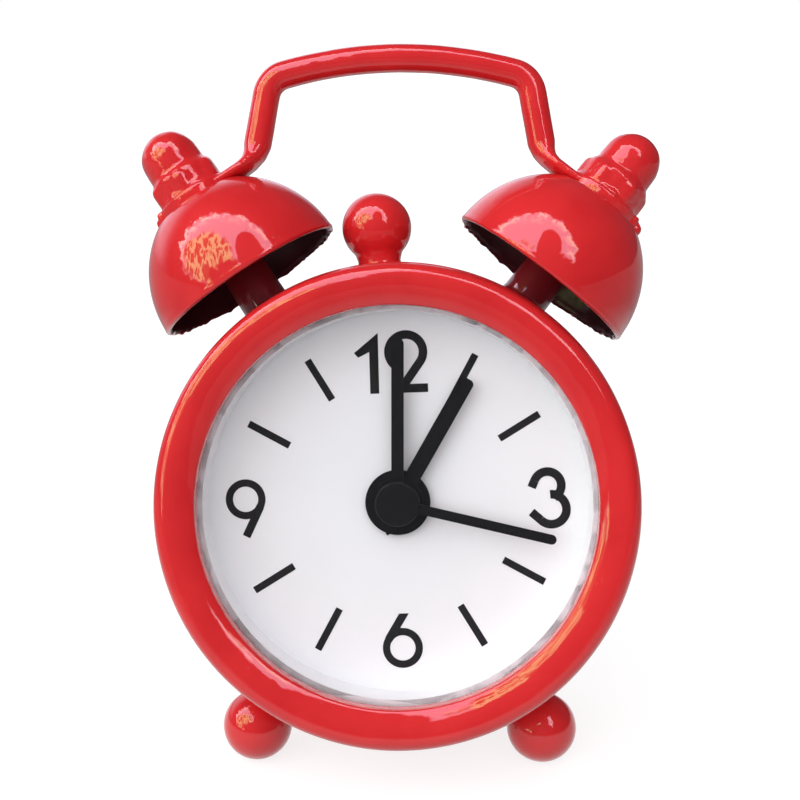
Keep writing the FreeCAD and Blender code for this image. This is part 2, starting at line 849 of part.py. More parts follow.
def handle_side(side):
    """One side of the handle, from the middle of the top to the eyelet on the bell."""
    edges = []
    place = (0.0, handle_top)
    heading = 0.0
    for radius, turn in ((arch_radius, -arch_turn), (corner_radius, -corner_turn)):
        start = place
        place, heading, halfway = bent(place, heading, radius, turn)
        arc = Part.Arc(in_plane(start), in_plane(halfway), in_plane(place))
        edges.append(arc.toShape())
    knee = polar(leg_length, heading, place)
    edges.append(Part.LineSegment(in_plane(place), in_plane(knee)).toShape())
    ring = Part.Circle(in_plane((0, handle_top)), X_AXIS, rod_radius)
    rod = Part.Wire(edges).makePipeShell([Part.Wire([ring.toShape()])], True, False)

    turn = -side["lean"] - heading
    last = len(flattening) - 2
    sections = [rod_section(polar(-rod_lap, heading, knee), heading, *flattening[0])]
    for index in range(1, last + 1):
        place, direction, halfway = bent(knee, heading, knee_radius, turn * index / last)
        sections.append(rod_section(place, direction, *flattening[index]))
    level = side["rim"] + bell_top_rise + eyelet_thickness / 2
    lean = math.radians(side["lean"])
    across = side["offset"] - web_start
    web_end = (across * math.cos(lean) + level * math.sin(lean),
               level * math.cos(lean) - across * math.sin(lean))
    sections.append(rod_section(web_end, -side["lean"], *flattening[-1]))
    pressed = Part.makeLoft(sections, True)

    low = level - eyelet_thickness / 2
    outline = [(-web_start - web_lap, -web_half_width), (0, -eyelet_radius), (0, eyelet_radius),
               (-web_start - web_lap, web_half_width)]
    corners = [FreeCAD.Vector(x, ornament_plane + y, low) for x, y in outline]
    web = Part.Face(Part.makePolygon(corners + corners[:1])).extrude(Z_AXIS * eyelet_thickness)
    eye = upright_rod(eyelet_radius, low, low + eyelet_thickness)
    bore = upright_rod(long_screw_radius + screw_room, low - cutter_lap,
                       low + eyelet_thickness + cutter_lap)
    eyelet = on_case(joined([web, eye]).cut(bore), side)
    return joined([rod, pressed, eyelet])


def handle():
    return joined([handle_side(right_bell), mirrored(handle_side(left_bell))])


# Hands and the pipes that carry them

def pointer(width, length, front, back, angle, tip_round=None):
    """A straight hand from the centre, with a round tip or rounded corners."""
    half = width / 2
    if tip_round is None:
        bar = block(-half, half, front, back, 0, length - half)
        shape = joined([bar, disc(half, front, back, (0, length - half))])
    else:
        bar = block(-half, half, front, back, 0, length)
        corners = [edge for edge in bar.Edges
                   if abs(edge.BoundBox.ZMin - length) < 1e-6 and edge.BoundBox.YLength > 1e-6
                   and edge.BoundBox.XLength < 1e-6]
        shape = bar.makeFillet(tip_round, corners)
    return around(shape, angle)


def alarm_hand():
    front, back = alarm_hand_front, alarm_hand_front + hand_thickness
    nub_spot = polar(alarm_disc_radius, alarm_nub_direction)
    shape = joined([disc(alarm_disc_radius, front, back),
                    disc(alarm_nub_radius, front, back, nub_spot),
                    pointer(alarm_hand_width, alarm_hand_length, front, back, 0)])
    return shape.cut(disc(alarm_pipe_radius, front, back))


def hour_hand():
    front, back = hour_hand_front, hour_hand_front + hand_thickness
    shape = joined([disc(hour_hub_radius, front, back),
                    pointer(hour_hand_width, hour_hand_length, front, back, hour_hand_angle,
                            hour_hand_corner)])
    return shape.cut(disc(hour_pipe_radius, front, back))


def minute_hand():
    front, back = minute_hand_front, minute_hand_front + hand_thickness
    shape = joined([disc(minute_hub_radius, front, back),
                    pointer(minute_hand_width, minute_hand_length, front, back, 0)])
    return shape.cut(disc(cannon_radius, front, back))


def second_hand():
    front, back = second_hand_front, second_hand_front + hand_thickness
    boss = disc(second_boss_radius, boss_front, back)
    rim = [edge for edge in boss.Edges if abs(edge.BoundBox.YMax - boss_front) < 1e-6]
    boss = boss.makeFillet(second_boss_edge, rim)
    shape = joined([boss, pointer(second_hand_width, second_hand_length, front, back,
                                  second_hand_angle)])
    return shape.cut(disc(arbor_radius, boss_front + second_boss_cap, back))


def alarm_wheel():
    pipe = disc(alarm_pipe_radius, alarm_hand_front, alarm_wheel_span[1])
    teeth = wheel(alarm_teeth, alarm_module, alarm_wheel_span)
    bore = disc(hour_pipe_radius + running_room, alarm_hand_front, alarm_wheel_span[1])
    return joined([teeth, pipe]).cut(bore)


def hour_wheel():
    pipe = disc(hour_pipe_radius, hour_hand_front, hour_wheel_span[1])
    phase = mate_phase(0, minute_pinion_teeth, minute_wheel_spot, hour_teeth, centre_spot)
    teeth = wheel(hour_teeth, minute_pinion_module, hour_wheel_span, centre_spot, phase)
    bore = disc(cannon_radius + running_room, hour_hand_front, hour_wheel_span[1])
    return joined([teeth, pipe]).cut(bore)


def cannon_pinion():
    pipe = disc(cannon_radius, minute_hand_front, cannon_pinion_span[1])
    teeth = pinion(cannon_teeth, cannon_module, cannon_pinion_span)
    bore = disc(arbor_radius + running_room, minute_hand_front, cannon_pinion_span[1])
    return joined([teeth, pipe]).cut(bore)


def seconds_wheel():
    arbor = disc(arbor_radius, boss_front + second_boss_cap, pivot_back)
    phase = mate_phase(0, intermediate_pinion_teeth, intermediate_spot, seconds_teeth, centre_spot)
    teeth = wheel(seconds_teeth, seconds_module, seconds_wheel_span, centre_spot, phase)
    leaves = pinion(seconds_pinion_teeth, third_module, seconds_pinion_span)
    return joined([arbor, leaves, teeth])


def centre_wheel():
    phase = mate_phase(0, third_pinion_teeth, third_spot, centre_teeth, centre_spot)
    teeth = wheel(centre_teeth, centre_module, centre_wheel_span, centre_spot, phase)
    hub = disc(cannon_radius, *centre_hub_span)
    return joined([teeth, hub]).cut(disc(arbor_radius + running_room, *centre_hub_span))


# Wheels off the centre

minute_wheel_phase = mate_phase(0, cannon_teeth, centre_spot, minute_wheel_teeth, minute_wheel_spot)
idler_phase = mate_phase(0, alarm_teeth, centre_spot, idler_teeth, idler_spot)


def minute_wheel():
    spot = minute_wheel_spot
    teeth = wheel(minute_wheel_teeth, cannon_module, minute_wheel_span, spot, minute_wheel_phase)
    leaves = pinion(minute_pinion_teeth, minute_pinion_module, minute_pinion_span, spot)
    bore = disc(stud_radius + running_room, minute_pinion_span[0], minute_wheel_span[1], spot)
    return joined([leaves, teeth]).cut(bore)


def alarm_idler():
    spot = idler_spot
    teeth = wheel(idler_teeth, alarm_module, alarm_wheel_span, spot, idler_phase)
    return teeth.cut(disc(stud_radius + running_room, *alarm_wheel_span, spot))


def plain_arbor(spot):
    return disc(arbor_radius, pivot_front, pivot_back, spot)


def third_wheel():
    phase = mate_phase(0, seconds_pinion_teeth, centre_spot, third_teeth, third_spot)
    teeth = wheel(third_teeth, third_module, third_wheel_span, third_spot, phase)
    leaves = pinion(third_pinion_teeth, centre_module, third_pinion_span, third_spot)
    return joined([plain_arbor(third_spot), leaves, teeth])


def intermediate_wheel():
    spot = intermediate_spot
    phase = mate_phase(0, rotor_teeth, rotor_spot, intermediate_teeth, spot)
    teeth = wheel(intermediate_teeth, rotor_module, intermediate_wheel_span, spot, phase)
    leaves = pinion(intermediate_pinion_teeth, seconds_module, intermediate_pinion_span, spot)
    return joined([plain_arbor(spot), leaves, teeth])


def rotor_pinion():
    leaves = pinion(rotor_teeth, rotor_module, rotor_pinion_span, rotor_spot)
    return joined([plain_arbor(rotor_spot), leaves])


def rotor_magnet():
    return tube(magnet_radius, arbor_radius, *magnet_span, rotor_spot)


# Setting shafts and knobs

def set_shaft(spot, teeth, module, mesh_span, phase):
    span = (mesh_span[0] - setting_pinion_room, mesh_span[1] + setting_pinion_room)
    pivot = disc(set_pivot_radius, pivot_front, span[0], spot)
    shaft = disc(set_shaft_radius, span[1], knob_front + knob_bore_depth, spot)
    return joined([pivot, pinion(teeth, module, span, spot, phase), shaft])


def time_set_shaft():
    phase = mate_phase(minute_wheel_phase, minute_wheel_teeth, minute_wheel_spot,
                       time_set_teeth, time_set_spot)
    return set_shaft(time_set_spot, time_set_teeth, cannon_module, minute_wheel_span, phase)


def alarm_set_shaft():
    phase = mate_phase(idler_phase, idler_teeth, idler_spot, alarm_set_teeth, alarm_set_spot)
    return set_shaft(alarm_set_spot, alarm_set_teeth, alarm_module, alarm_wheel_span, phase)


def set_knob(spot):
    """A ribbed knob with a shallow hollow in its end, pressed on its shaft."""
    body = disc(knob_radius - knob_rib_depth, knob_front, knob_back, spot)
    ribs = []
    rib_radius = math.pi * knob_radius / knob_ribs / 2
    for index in range(knob_ribs):
        rib_spot = polar(knob_radius - rib_radius, index * 360 / knob_ribs, spot)
        ribs.append(disc(rib_radius, knob_front, knob_back, rib_spot))
    body = joined([body] + ribs)
    hollow = disc(knob_hollow_radius, knob_back - knob_hollow_depth, knob_back, spot)
    bore = disc(set_shaft_radius, knob_front, knob_front + knob_bore_depth, spot)
    return body.cut(hollow).cut(bore)


# Movement plates

def blind_bearings(shape, front, back, spots):
    for spot in spots:
        shape = shape.cut(disc(arbor_radius + running_room, front, back, spot))
    return shape


arbor_spots = [third_spot, intermediate_spot, rotor_spot]
set_spots = [time_set_spot, alarm_set_spot]
spring_boss_spot = (-3.0, -7.2)
spring_boss_radius = 0.7
spring_front = 7.0
spring_thickness = 0.12
spring_half_width = 0.3
spring_length = 4.4


def battery_cradle():
    tray = tube(cradle_radius, cradle_bore, plate_back, cradle_back, battery_spot)
    lower_half = block(-cradle_radius, cradle_radius, plate_back, cradle_back,
                       battery_height - cradle_radius, cradle_top)
    floor = disc(cradle_bore, *cradle_floor_span, battery_spot)
    return joined([tray.common(lower_half), floor])


def front_plate():
    pieces = [disc(front_plate_radius, dial_back, plate_back)]
    for spot in pillar_spots:
        step = rear_plate_front if spot[1] > 0 else cover_inside
        pieces.append(disc(pillar_radius, plate_back, step, spot))
        if step < cover_inside:
            pieces.append(disc(pillar_step_radius, step, cover_inside, spot))
    minute_stud_end = minute_wheel_span[1] + minute_stud_overrun
    pieces.append(disc(stud_radius, plate_back, minute_stud_end, minute_wheel_spot))
    idler_stud_end = alarm_wheel_span[1] + idler_stud_overrun
    pieces.append(disc(stud_radius, plate_back, idler_stud_end, idler_spot))
    pieces.append(disc(spring_boss_radius, plate_back, spring_front, spring_boss_spot))
    pieces.append(battery_cradle())
    plate = joined(pieces)
    plate = plate.cut(disc(alarm_pipe_radius + running_room, dial_back, plate_back))
    plate = blind_bearings(plate, pivot_front, plate_back, arbor_spots)
    for spot in set_spots:
        plate = plate.cut(disc(set_pivot_radius + running_room, pivot_front, plate_back, spot))
    for spot in pillar_spots:
        screw_end = cover_back - small_screw_head_height - small_screw_length
        plate = plate.cut(disc(small_screw_radius, screw_end, cover_inside, spot))
    return plate


def rear_plate():
    back = rear_plate_back
    plate = disc(rear_plate_radius, rear_plate_front, back)
    plate = plate.common(block(-rear_plate_radius, rear_plate_radius, rear_plate_front, back,
                               rear_plate_bottom, rear_plate_top))
    core_back = core_middle + core_half_thickness
    bosses = []
    for spot in (coil_boss_spot, polar(stator_pad_radius - coil_boss_inset, 0, rotor_spot)):
        bosses.append(disc(coil_boss_radius, core_back, rear_plate_front, spot))
    boss_across = board_half_width - board_boss_inset
    for across in (-boss_across, boss_across):
        spot = (across, board_top - board_boss_inset)
        bosses.append(disc(board_boss_radius, back, board_span[0], spot))
    plate = joined([plate] + bosses)
    plate = blind_bearings(plate, rear_plate_front, pivot_back, arbor_spots + [centre_spot])
    for spot in set_spots:
        plate = plate.cut(disc(set_shaft_radius + running_room, rear_plate_front, back, spot))
    for spot in pillar_spots:
        if spot[1] > 0:
            plate = plate.cut(disc(pillar_step_radius, rear_plate_front, back, spot))
    return plate


def back_cover():
    cover = turned((0, cover_inside), [
        (cover_skirt_bore, cover_inside),
        (cover_skirt_bore, cover_skirt_front),
        (cover_radius, cover_skirt_front),
        (cover_radius, cover_back),
        (0, cover_back)])
    lugs = []
    lug_back = case_back - case_wall
    lug_front = lug_back - cover_lug_length
    lug_ring = tube(cover_lug_radius, cover_radius - cover_lug_lap, lug_front, lug_back)
    for angle in cover_lug_angles:
        window = block(-cover_lug_width / 2, cover_lug_width / 2, lug_front, lug_back,
                       cover_radius - cutter_lap, cover_lug_radius + cutter_lap)
        lugs.append(lug_ring.common(around(window, angle)))
    cover = joined([cover] + lugs)
    for spot in set_spots:
        cover = cover.cut(disc(set_shaft_radius + running_room, cover_inside, cover_back, spot))
    for spot in pillar_spots:
        seat = cover_back - small_screw_head_height
        cover = cover.cut(disc(small_screw_radius + screw_room, cover_inside, seat, spot))
        cover = cover.cut(disc(small_screw_head_radius + screw_room, seat, cover_back, spot))
    cover = cover.cut(disc(cap_radius + cap_room, cover_inside, cover_back, battery_spot))
    entry_reach = cap_lug_radius + switch_room
    entry_half = cap_lug_width / 2 + switch_room
    entry = block(-entry_reach, entry_reach, cover_inside, cover_back, battery_height - entry_half,
                  battery_height + entry_half)
    entry.rotate(FreeCAD.Vector(0, 0, battery_height), Y_AXIS, cap_turn)
    cover = cover.cut(entry)
    stem_half = switch_stem[0] / 2 + switch_travel / 2 + switch_room
    stem_side = switch_stem[1] / 2 + switch_room
    cover = cover.cut(block(-stem_half, stem_half, cover_inside, cover_back,
                            switch_height - stem_side, switch_height + stem_side))
    sounder_spot = (0, sounder_height)
    cover = cover.cut(disc(sounder_recess_radius, cover_inside, cover_inside + sounder_recess,
                           sounder_spot))
    hole_spots = [sounder_spot]
    for index in range(sound_holes):
        hole_spots.append(polar(sound_hole_circle, 360 * index / sound_holes, sounder_spot))
    for spot in hole_spots:
        cover = cover.cut(disc(sound_hole_radius, cover_inside, cover_back, spot))
    return cover


def plate_screws():
    """Four small screws with crossed slots in their heads."""
    half_length = small_screw_slot_length / 2
    half_width = small_screw_slot_width / 2
    screws = []
    for spot in pillar_spots:
        seat = cover_back - small_screw_head_height
        head = disc(small_screw_head_radius, seat, cover_back, spot)
        for turn in (0, 90):
            slot = block(spot[0] - half_length, spot[0] + half_length,
                         cover_back - small_screw_slot_depth, cover_back,
                         spot[1] - half_width, spot[1] + half_width)
            slot.rotate(FreeCAD.Vector(spot[0], 0, spot[1]), Y_AXIS, turn)
            head = head.cut(slot)
        screws.append(joined([head, disc(small_screw_radius, seat - small_screw_length, seat, spot)]))
    return Part.makeCompound(screws)


# Battery, its cap and contacts

cap_turn = 45.0


def battery_cell():
    can = disc(battery_radius, battery_span[0] + battery_step, battery_span[1], battery_spot)
    step = disc(battery_step_radius, battery_span[0], battery_span[1] - battery_step, battery_spot)
    return joined([can, step])


def battery_cap():
    plate = disc(cap_radius, cover_inside, cap_back, battery_spot)
    boss = disc(cap_boss_radius, battery_span[1] + cap_room, cap_back, battery_spot)
    lug_back = cover_inside - cap_room
    lug_front = lug_back - cap_lug_thickness
    lugs = block(-cap_lug_radius, cap_lug_radius, lug_front, lug_back,
                 battery_height - cap_lug_width / 2, battery_height + cap_lug_width / 2)
    web = disc(cap_radius, lug_front, cover_inside, battery_spot)
    length, width, depth = coin_slot
    slot = block(-length / 2, length / 2, cap_back - depth, cap_back,
                 battery_height - width / 2, battery_height + width / 2)
    return joined([plate, boss, lugs, web]).cut(slot)


def bent_strip(points, width, thickness, middle):
    """A strip of spring metal, bent along (across, depth) points in a level plane."""
    outline = [FreeCAD.Vector(across, depth, middle - width / 2) for across, depth in points]
    outline += [FreeCAD.Vector(across, depth + thickness, middle - width / 2)
                for across, depth in reversed(points)]
    outline.append(outline[0])
    return Part.Face(Part.makePolygon(outline)).extrude(Z_AXIS * width)


def contact_negative():
    """A strip that lies on the cradle's floor and arches up to touch the battery."""
    floor = cradle_floor_span[1]
    touch = battery_span[0] - contact_thickness
    depths = (floor, floor, touch, touch, floor, floor)
    return bent_strip(list(zip(negative_bends, depths)), contact_width, contact_thickness,
                      battery_height)


def contact_positive():
    """A strip that touches the side of the battery and ends on the circuit board's edge."""
    side = block(-contact_width / 2, contact_width / 2, battery_span[0] + positive_inset,
                 board_span[1], battery_radius, battery_radius + contact_thickness)
    side.rotate(ORIGIN, Y_AXIS, positive_direction)
    side.translate(FreeCAD.Vector(0, 0, battery_height))
    tab_bottom = battery_height + battery_radius * positive_tab_share
    tab = block(*positive_tab, *board_span, tab_bottom, board_bottom)
    return joined([side, tab])


# Circuit board and sounder

def circuit_board():
    main = block(-board_half_width, board_half_width, *board_span, board_bottom, board_top)
    tab = block(-board_tab_half_width, board_tab_half_width, *board_span, board_top, board_tab_top)
    return joined([main, tab])


def chip_blob():
    """A sealed drop over the chip, as a low cap of a sphere."""
    radius = (chip_radius ** 2 + chip_height ** 2) / (2 * chip_height)
    middle = FreeCAD.Vector(chip_spot[0], board_span[1] + chip_height - radius, chip_spot[1])
    sphere = Part.makeSphere(radius, middle)
    return sphere.common(disc(chip_radius, board_span[1], board_span[1] + chip_height, chip_spot))


def quartz_can():
    base = FreeCAD.Vector(quartz_spot[0], board_span[1] + quartz_radius, quartz_spot[1])
    return Part.makeCylinder(quartz_radius, quartz_length, base, X_AXIS)


def buzzer_disc():
    return disc(sounder_radius, cover_inside - sounder_thickness, cover_inside, (0, sounder_height))


def buzzer_ceramic():
    back = cover_inside - sounder_thickness
    return disc(ceramic_radius, back - ceramic_thickness, back, (0, sounder_height))


def buzzer_springs():
    """Two small leaf springs from the board's tab: one to the brass disc, one to the ceramic."""
    foot = board_span[1]
    disc_front = cover_inside - sounder_thickness
    leaves = []
    for (across, height), reach in zip(sounder_leaf_spots, (disc_front, disc_front - ceramic_thickness)):
        touch = reach - sounder_leaf_thickness
        depths = (foot, foot, touch, touch)
        points = [(across + bend, depth) for bend, depth in zip(sounder_leaf_bends, depths)]
        leaves.append(bent_strip(points, sounder_leaf_width, sounder_leaf_thickness, height))
    return Part.makeCompound(leaves)


def alarm_contact_spring():
    """A leaf on a boss of the front plate, its free end just behind the hour wheel."""
    back = spring_front + spring_thickness
    eye = disc(spring_boss_radius, spring_front, back, spring_boss_spot)
    across, low = spring_boss_spot
    leaf = block(across - spring_half_width, across + spring_half_width, spring_front, back,
                 low, low + spring_length)
    return joined([eye, leaf])


# Coil and stator

def coil_core():
    return block(core_left, core_right, core_middle - core_half_thickness,
                 core_middle + core_half_thickness, coil_height - core_half_width,
                 coil_height + core_half_width)


def coil_round(radius, left, right):
    base = FreeCAD.Vector(left, core_middle, coil_height)
    return Part.makeCylinder(radius, right - left, base, X_AXIS)


def coil_bobbin():
    former = coil_round(former_tube_radius, former_left, former_right)
    left_cheek = coil_round(former_radius, former_left, former_left + former_cheek)
    right_cheek = coil_round(former_radius, former_right - former_cheek, former_right)
    return joined([former, left_cheek, right_cheek]).cut(coil_core())


def coil_winding():
    left = former_left + former_cheek
    right = former_right - former_cheek
    return coil_round(winding_radius, left, right).cut(coil_round(former_tube_radius, left, right))


def stator_plate():
    """Two arms from the core's ends to a pad round the rotor, with a thin neck above and below."""
    front = core_middle - core_half_thickness
    back = core_middle + core_half_thickness
    low = rotor_spot[1] - stator_arm / 2
    high = rotor_spot[1] + stator_arm / 2
    core_bottom = coil_height - core_half_width
    left_arm = block(core_left, core_left + stator_arm, front, back, low, core_bottom)
    cross = block(core_left, rotor_spot[0], front, back, low, high)
    right_arm = block(core_right - stator_arm, core_right, front, back, rotor_spot[1], core_bottom)
    pad = disc(stator_pad_radius, front, back, rotor_spot)
    plate = joined([left_arm, cross, right_arm, pad])
    plate = plate.cut(disc(stator_hole_radius, front, back, rotor_spot))
    for sign in (-1, 1):
        middle = rotor_spot[0] - sign * stator_slot_shift
        ends = sorted((rotor_spot[1] + sign * stator_slot_start, rotor_spot[1] + sign * stator_slot_end))
        plate = plate.cut(block(middle - stator_slot / 2, middle + stator_slot / 2, front, back, *ends))
    return plate


# Alarm switch, resting at off

def alarm_switch():
    off = -switch_travel / 2
    stem = block(off - switch_stem[0] / 2, off + switch_stem[0] / 2, switch_base_span[0],
                 switch_back, switch_height - switch_stem[1] / 2, switch_height + switch_stem[1] / 2)
    base = block(off - switch_base[0] / 2, off + switch_base[0] / 2, *switch_base_span,
                 switch_height - switch_base[1] / 2, switch_height + switch_base[1] / 2)
    return joined([stem, base])


# How the clock stands: on its two ball feet and the lower back corner of the drum

def lean_angle():
    foot_drop = foot_distance * -math.cos(math.radians(foot_angle))
    corner_depth = case_back - case_corner - ornament_plane
    corner_rise = foot_drop - (case_radius - case_corner)
    apart = math.hypot(corner_depth, corner_rise)
    slope = math.degrees(math.atan2(corner_rise, corner_depth))
    return slope + math.degrees(math.asin((ball_radius - case_corner) / apart))


def clock_nodes():
    nodes = {
        "case_shell": case_shell(),
        "front_bezel": front_bezel(),
        "crystal": crystal(),
        "dial_ring": dial_ring(),
        "dial": dial(),
        "dial_marks": dial_marks(),
        "hour_hand": hour_hand(),
        "minute_hand": minute_hand(),
        "second_hand": second_hand(),
        "alarm_hand": alarm_hand(),
        "bell_left": mirrored(bell(left_bell)),
        "bell_right": bell(right_bell),
        "bell_post_left": mirrored(bell_post(left_bell)),
        "bell_post_right": bell_post(right_bell),
        "bell_screws": Part.makeCompound([mirrored(long_screw(left_bell)), long_screw(right_bell)]),
        "bell_nut_left": mirrored(bell_nut(left_bell)),
        "bell_nut_right": bell_nut(right_bell),
        "handle": handle(),
        "top_knob": ball(top_knob_distance, top_knob_angle),
        "foot_left": ball(foot_distance, -foot_angle),
        "foot_right": ball(foot_distance, foot_angle),
        "ball_screws": Part.makeCompound([ball_screw(top_knob_distance, top_knob_angle),
                                          ball_screw(foot_distance, -foot_angle),
                                          ball_screw(foot_distance, foot_angle)]),
        "back_cover": back_cover(),
        "battery_cap": battery_cap(),
        "battery_cell": battery_cell(),
        "contact_positive": contact_positive(),
        "contact_negative": contact_negative(),
        "front_plate": front_plate(),
        "rear_plate": rear_plate(),
        "plate_screws": plate_screws(),
        "coil_bobbin": coil_bobbin(),
        "coil_winding": coil_winding(),
        "coil_core": coil_core(),
        "stator_plate": stator_plate(),
        "rotor_magnet": rotor_magnet(),
        "rotor_pinion": rotor_pinion(),
        "intermediate_wheel": intermediate_wheel(),
        "seconds_wheel": seconds_wheel(),
        "third_wheel": third_wheel(),
        "centre_wheel": centre_wheel(),
        "cannon_pinion": cannon_pinion(),
        "minute_wheel": minute_wheel(),
        "hour_wheel": hour_wheel(),
        "alarm_wheel": alarm_wheel(),
        "alarm_idler": alarm_idler(),
        "time_set_shaft": time_set_shaft(),
        "time_set_knob": set_knob(time_set_spot),
        "alarm_set_shaft": alarm_set_shaft(),
        "alarm_set_knob": set_knob(alarm_set_spot),
        "alarm_contact_spring": alarm_contact_spring(),
        "alarm_switch": alarm_switch(),
        "circuit_board": circuit_board(),
        "chip_blob": chip_blob(),
        "quartz_can": quartz_can(),
        "buzzer_disc": buzzer_disc(),
        "buzzer_ceramic": buzzer_ceramic(),
        "buzzer_springs": buzzer_springs(),
    }
    return nodes


def table_placement(nodes):
    """Leans the clock back on its feet and puts the middle of its base at the origin."""
    lean = FreeCAD.Rotation(X_AXIS, -lean_angle())
    leaned = Part.makeCompound(list(nodes.values()))
    leaned.Placement = FreeCAD.Placement(ORIGIN, lean)
    box = leaned.optimalBoundingBox(False)
    shift = FreeCAD.Vector(-box.Center.x, -box.Center.y, -box.ZMin)
    return FreeCAD.Placement(shift, lean)


def main():
    os.makedirs("parts", exist_ok=True)
    nodes = clock_nodes()
    placement = table_placement(nodes)
    for name, shape in nodes.items():
        shape.Placement = placement.multiply(shape.Placement)
        shape.exportStep("parts/" + name + ".step")
    print("lean in degrees:", round(lean_angle(), 3))
    print("shift in mm:", tuple(round(value, 4) for value in placement.Base))


if __name__ == "__main__":
    main()
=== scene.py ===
import json
import math

import bpy
from bpy.props import FloatProperty, FloatVectorProperty, IntProperty, PointerProperty
from mathutils import Matrix, Vector


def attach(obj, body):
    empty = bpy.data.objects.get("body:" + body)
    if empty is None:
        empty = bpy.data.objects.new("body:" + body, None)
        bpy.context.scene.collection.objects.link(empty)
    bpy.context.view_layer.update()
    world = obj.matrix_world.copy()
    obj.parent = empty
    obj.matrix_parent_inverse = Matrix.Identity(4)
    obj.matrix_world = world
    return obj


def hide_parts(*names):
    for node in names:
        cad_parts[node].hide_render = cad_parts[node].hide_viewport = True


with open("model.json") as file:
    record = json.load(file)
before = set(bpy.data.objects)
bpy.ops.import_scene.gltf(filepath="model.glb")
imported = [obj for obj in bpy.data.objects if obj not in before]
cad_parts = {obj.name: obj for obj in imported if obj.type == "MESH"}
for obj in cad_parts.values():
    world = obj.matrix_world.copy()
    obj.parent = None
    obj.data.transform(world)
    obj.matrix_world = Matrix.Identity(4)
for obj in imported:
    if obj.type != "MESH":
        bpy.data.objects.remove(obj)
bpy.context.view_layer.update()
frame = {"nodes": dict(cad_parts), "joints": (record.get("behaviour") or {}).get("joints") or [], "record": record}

bl_info = {
    "name": "Mini twin-bell alarm clock",
    "version": (1, 0, 0),
    "blender": (4, 5, 0),
    "location": "View3D > Sidebar > Alarm clock",
    "description": "Enamelled pieces, finishes, floor, light and camera for the mini alarm clock",
    "category": "Object",
}

mm = 0.001


# The clock's own frame, read from the joint of the second hand: X to the right as the dial is
# read, Y from the dial to the back, Z towards 12, with the origin where the front ring is widest

second_joint_depth = 11.1
joints = {joint["name"]: joint for joint in frame["joints"]}
back_way = Vector(joints["second_spin"]["axis"]).normalized()
right_way = Vector((1, 0, 0))
up_way = right_way.cross(back_way)
clock_origin = Vector(joints["second_spin"]["pos_m"]) - back_way * second_joint_depth * mm
clock_place = Matrix((
    (right_way.x, back_way.x, up_way.x, clock_origin.x),
    (right_way.y, back_way.y, up_way.y, clock_origin.y),
    (right_way.z, back_way.z, up_way.z, clock_origin.z),
    (0, 0, 0, 1)))

# Pieces turned about the clock's axis are drawn with Z running out of the dial
dial_place = clock_place @ Matrix.Rotation(math.radians(90), 4, "X")


# Sizes of the pieces that are dressed, in millimetres

ornament_plane = 6.5
left_bell = {"side": -1, "lean": 33.5, "offset": 0.3, "rim": 22.0, "nut_turn": 30, "stub": 0.45}
right_bell = {"side": 1, "lean": 38.0, "offset": -2.1, "rim": 21.6, "nut_turn": 0, "stub": 0.75}
bell_radius = 8.25
bell_height = 9.1
bell_top = 7.9
post_radius = 2.0
eyelet_thickness = 0.9
eyelet_radius = 3.2
stub_middle = 2.6
nut_flats = 5.5
nut_hex_height = 1.9
nut_dome_radius = 2.34
nut_dome_rise = 3.5
nut_paint = 0.09
ball_radius = 2.89
ball_neck_radius = 1.7
top_knob = {"turn": -4.7, "distance": 22.8}
foot_left = {"turn": -148.0, "distance": 22.55}
foot_right = {"turn": 148.0, "distance": 22.55}
case_radius = 19.2
case_wall = 0.6
case_bead_radius = 19.5
case_front = 1.7
case_bead_width = 1.0
case_front_lip = 17.6
case_back = 18.5
case_back_lip = 17.9
case_corner = 0.8
ring_radius = 19.15
opening_radius = 15.86
ring_sheet = 0.5
ring_crest_radius = 17.95
ring_rise = 1.645
ring_corner_radius = 1.2
ring_slope_radius = 3.7
ring_lip_depth = 0.4
rod_radius = 1.04
handle_paint = 0.12
handle_top = 36.86
handle_bends = ((36.0, -15.5, 9), (2.1, -64.5, 9))
handle_leg = 4.3
knee_radius = 3.0
knee_sections = ((1.25, 0.86), (1.7, 0.62), (2.1, 0.48), (2.3, 0.41))
web_start = 2.6


def upright_place(side):
    """The frame of a bell's pieces: Z runs outward from the drum, X away from the handle."""
    turn = Matrix.Rotation(math.radians(side["side"] * side["lean"]), 4, "Y")
    shift = Matrix.Translation(Vector((side["side"] * side["offset"], ornament_plane, 0)) * mm)
    return clock_place @ turn @ shift


def ball_place(ball):
    turn = Matrix.Rotation(math.radians(ball["turn"]), 4, "Y")
    return clock_place @ turn @ Matrix.Translation(Vector((0, ornament_plane, 0)) * mm)


# Modelling helpers

sharp_turn = 40
same_place = 0.002
paint_slack = 0.6


def begin():
    """Leaves edit mode with nothing selected."""
    if bpy.context.object and bpy.context.object.mode != "OBJECT":
        bpy.ops.object.mode_set(mode="OBJECT")
    bpy.ops.object.select_all(action="DESELECT")


def active():
    return bpy.context.view_layer.objects.active


def edit():
    bpy.ops.object.mode_set(mode="EDIT")


def leave_edit():
    """Back to object mode, with the object's origin at the world's."""
    if active().mode == "EDIT":
        bpy.ops.object.mode_set(mode="OBJECT")
    bpy.ops.object.transform_apply(location=True, rotation=True, scale=True)


def apply_modifier(kind, **settings):
    piece = active()
    modifier = piece.modifiers.new(kind.lower(), kind)
    for key, value in settings.items():
        setattr(modifier, key, value)
    bpy.ops.object.modifier_apply(modifier=modifier.name)


def round_edges(width, segments):
    """Rounds the sharp edges, and merges the points that fall together where room is short."""
    apply_modifier("BEVEL", width=width * mm, segments=segments, limit_method="ANGLE",
                   angle_limit=math.radians(sharp_turn))
    edit()
    bpy.ops.mesh.select_all(action="SELECT")
    bpy.ops.mesh.remove_doubles(threshold=same_place * mm)
    leave_edit()


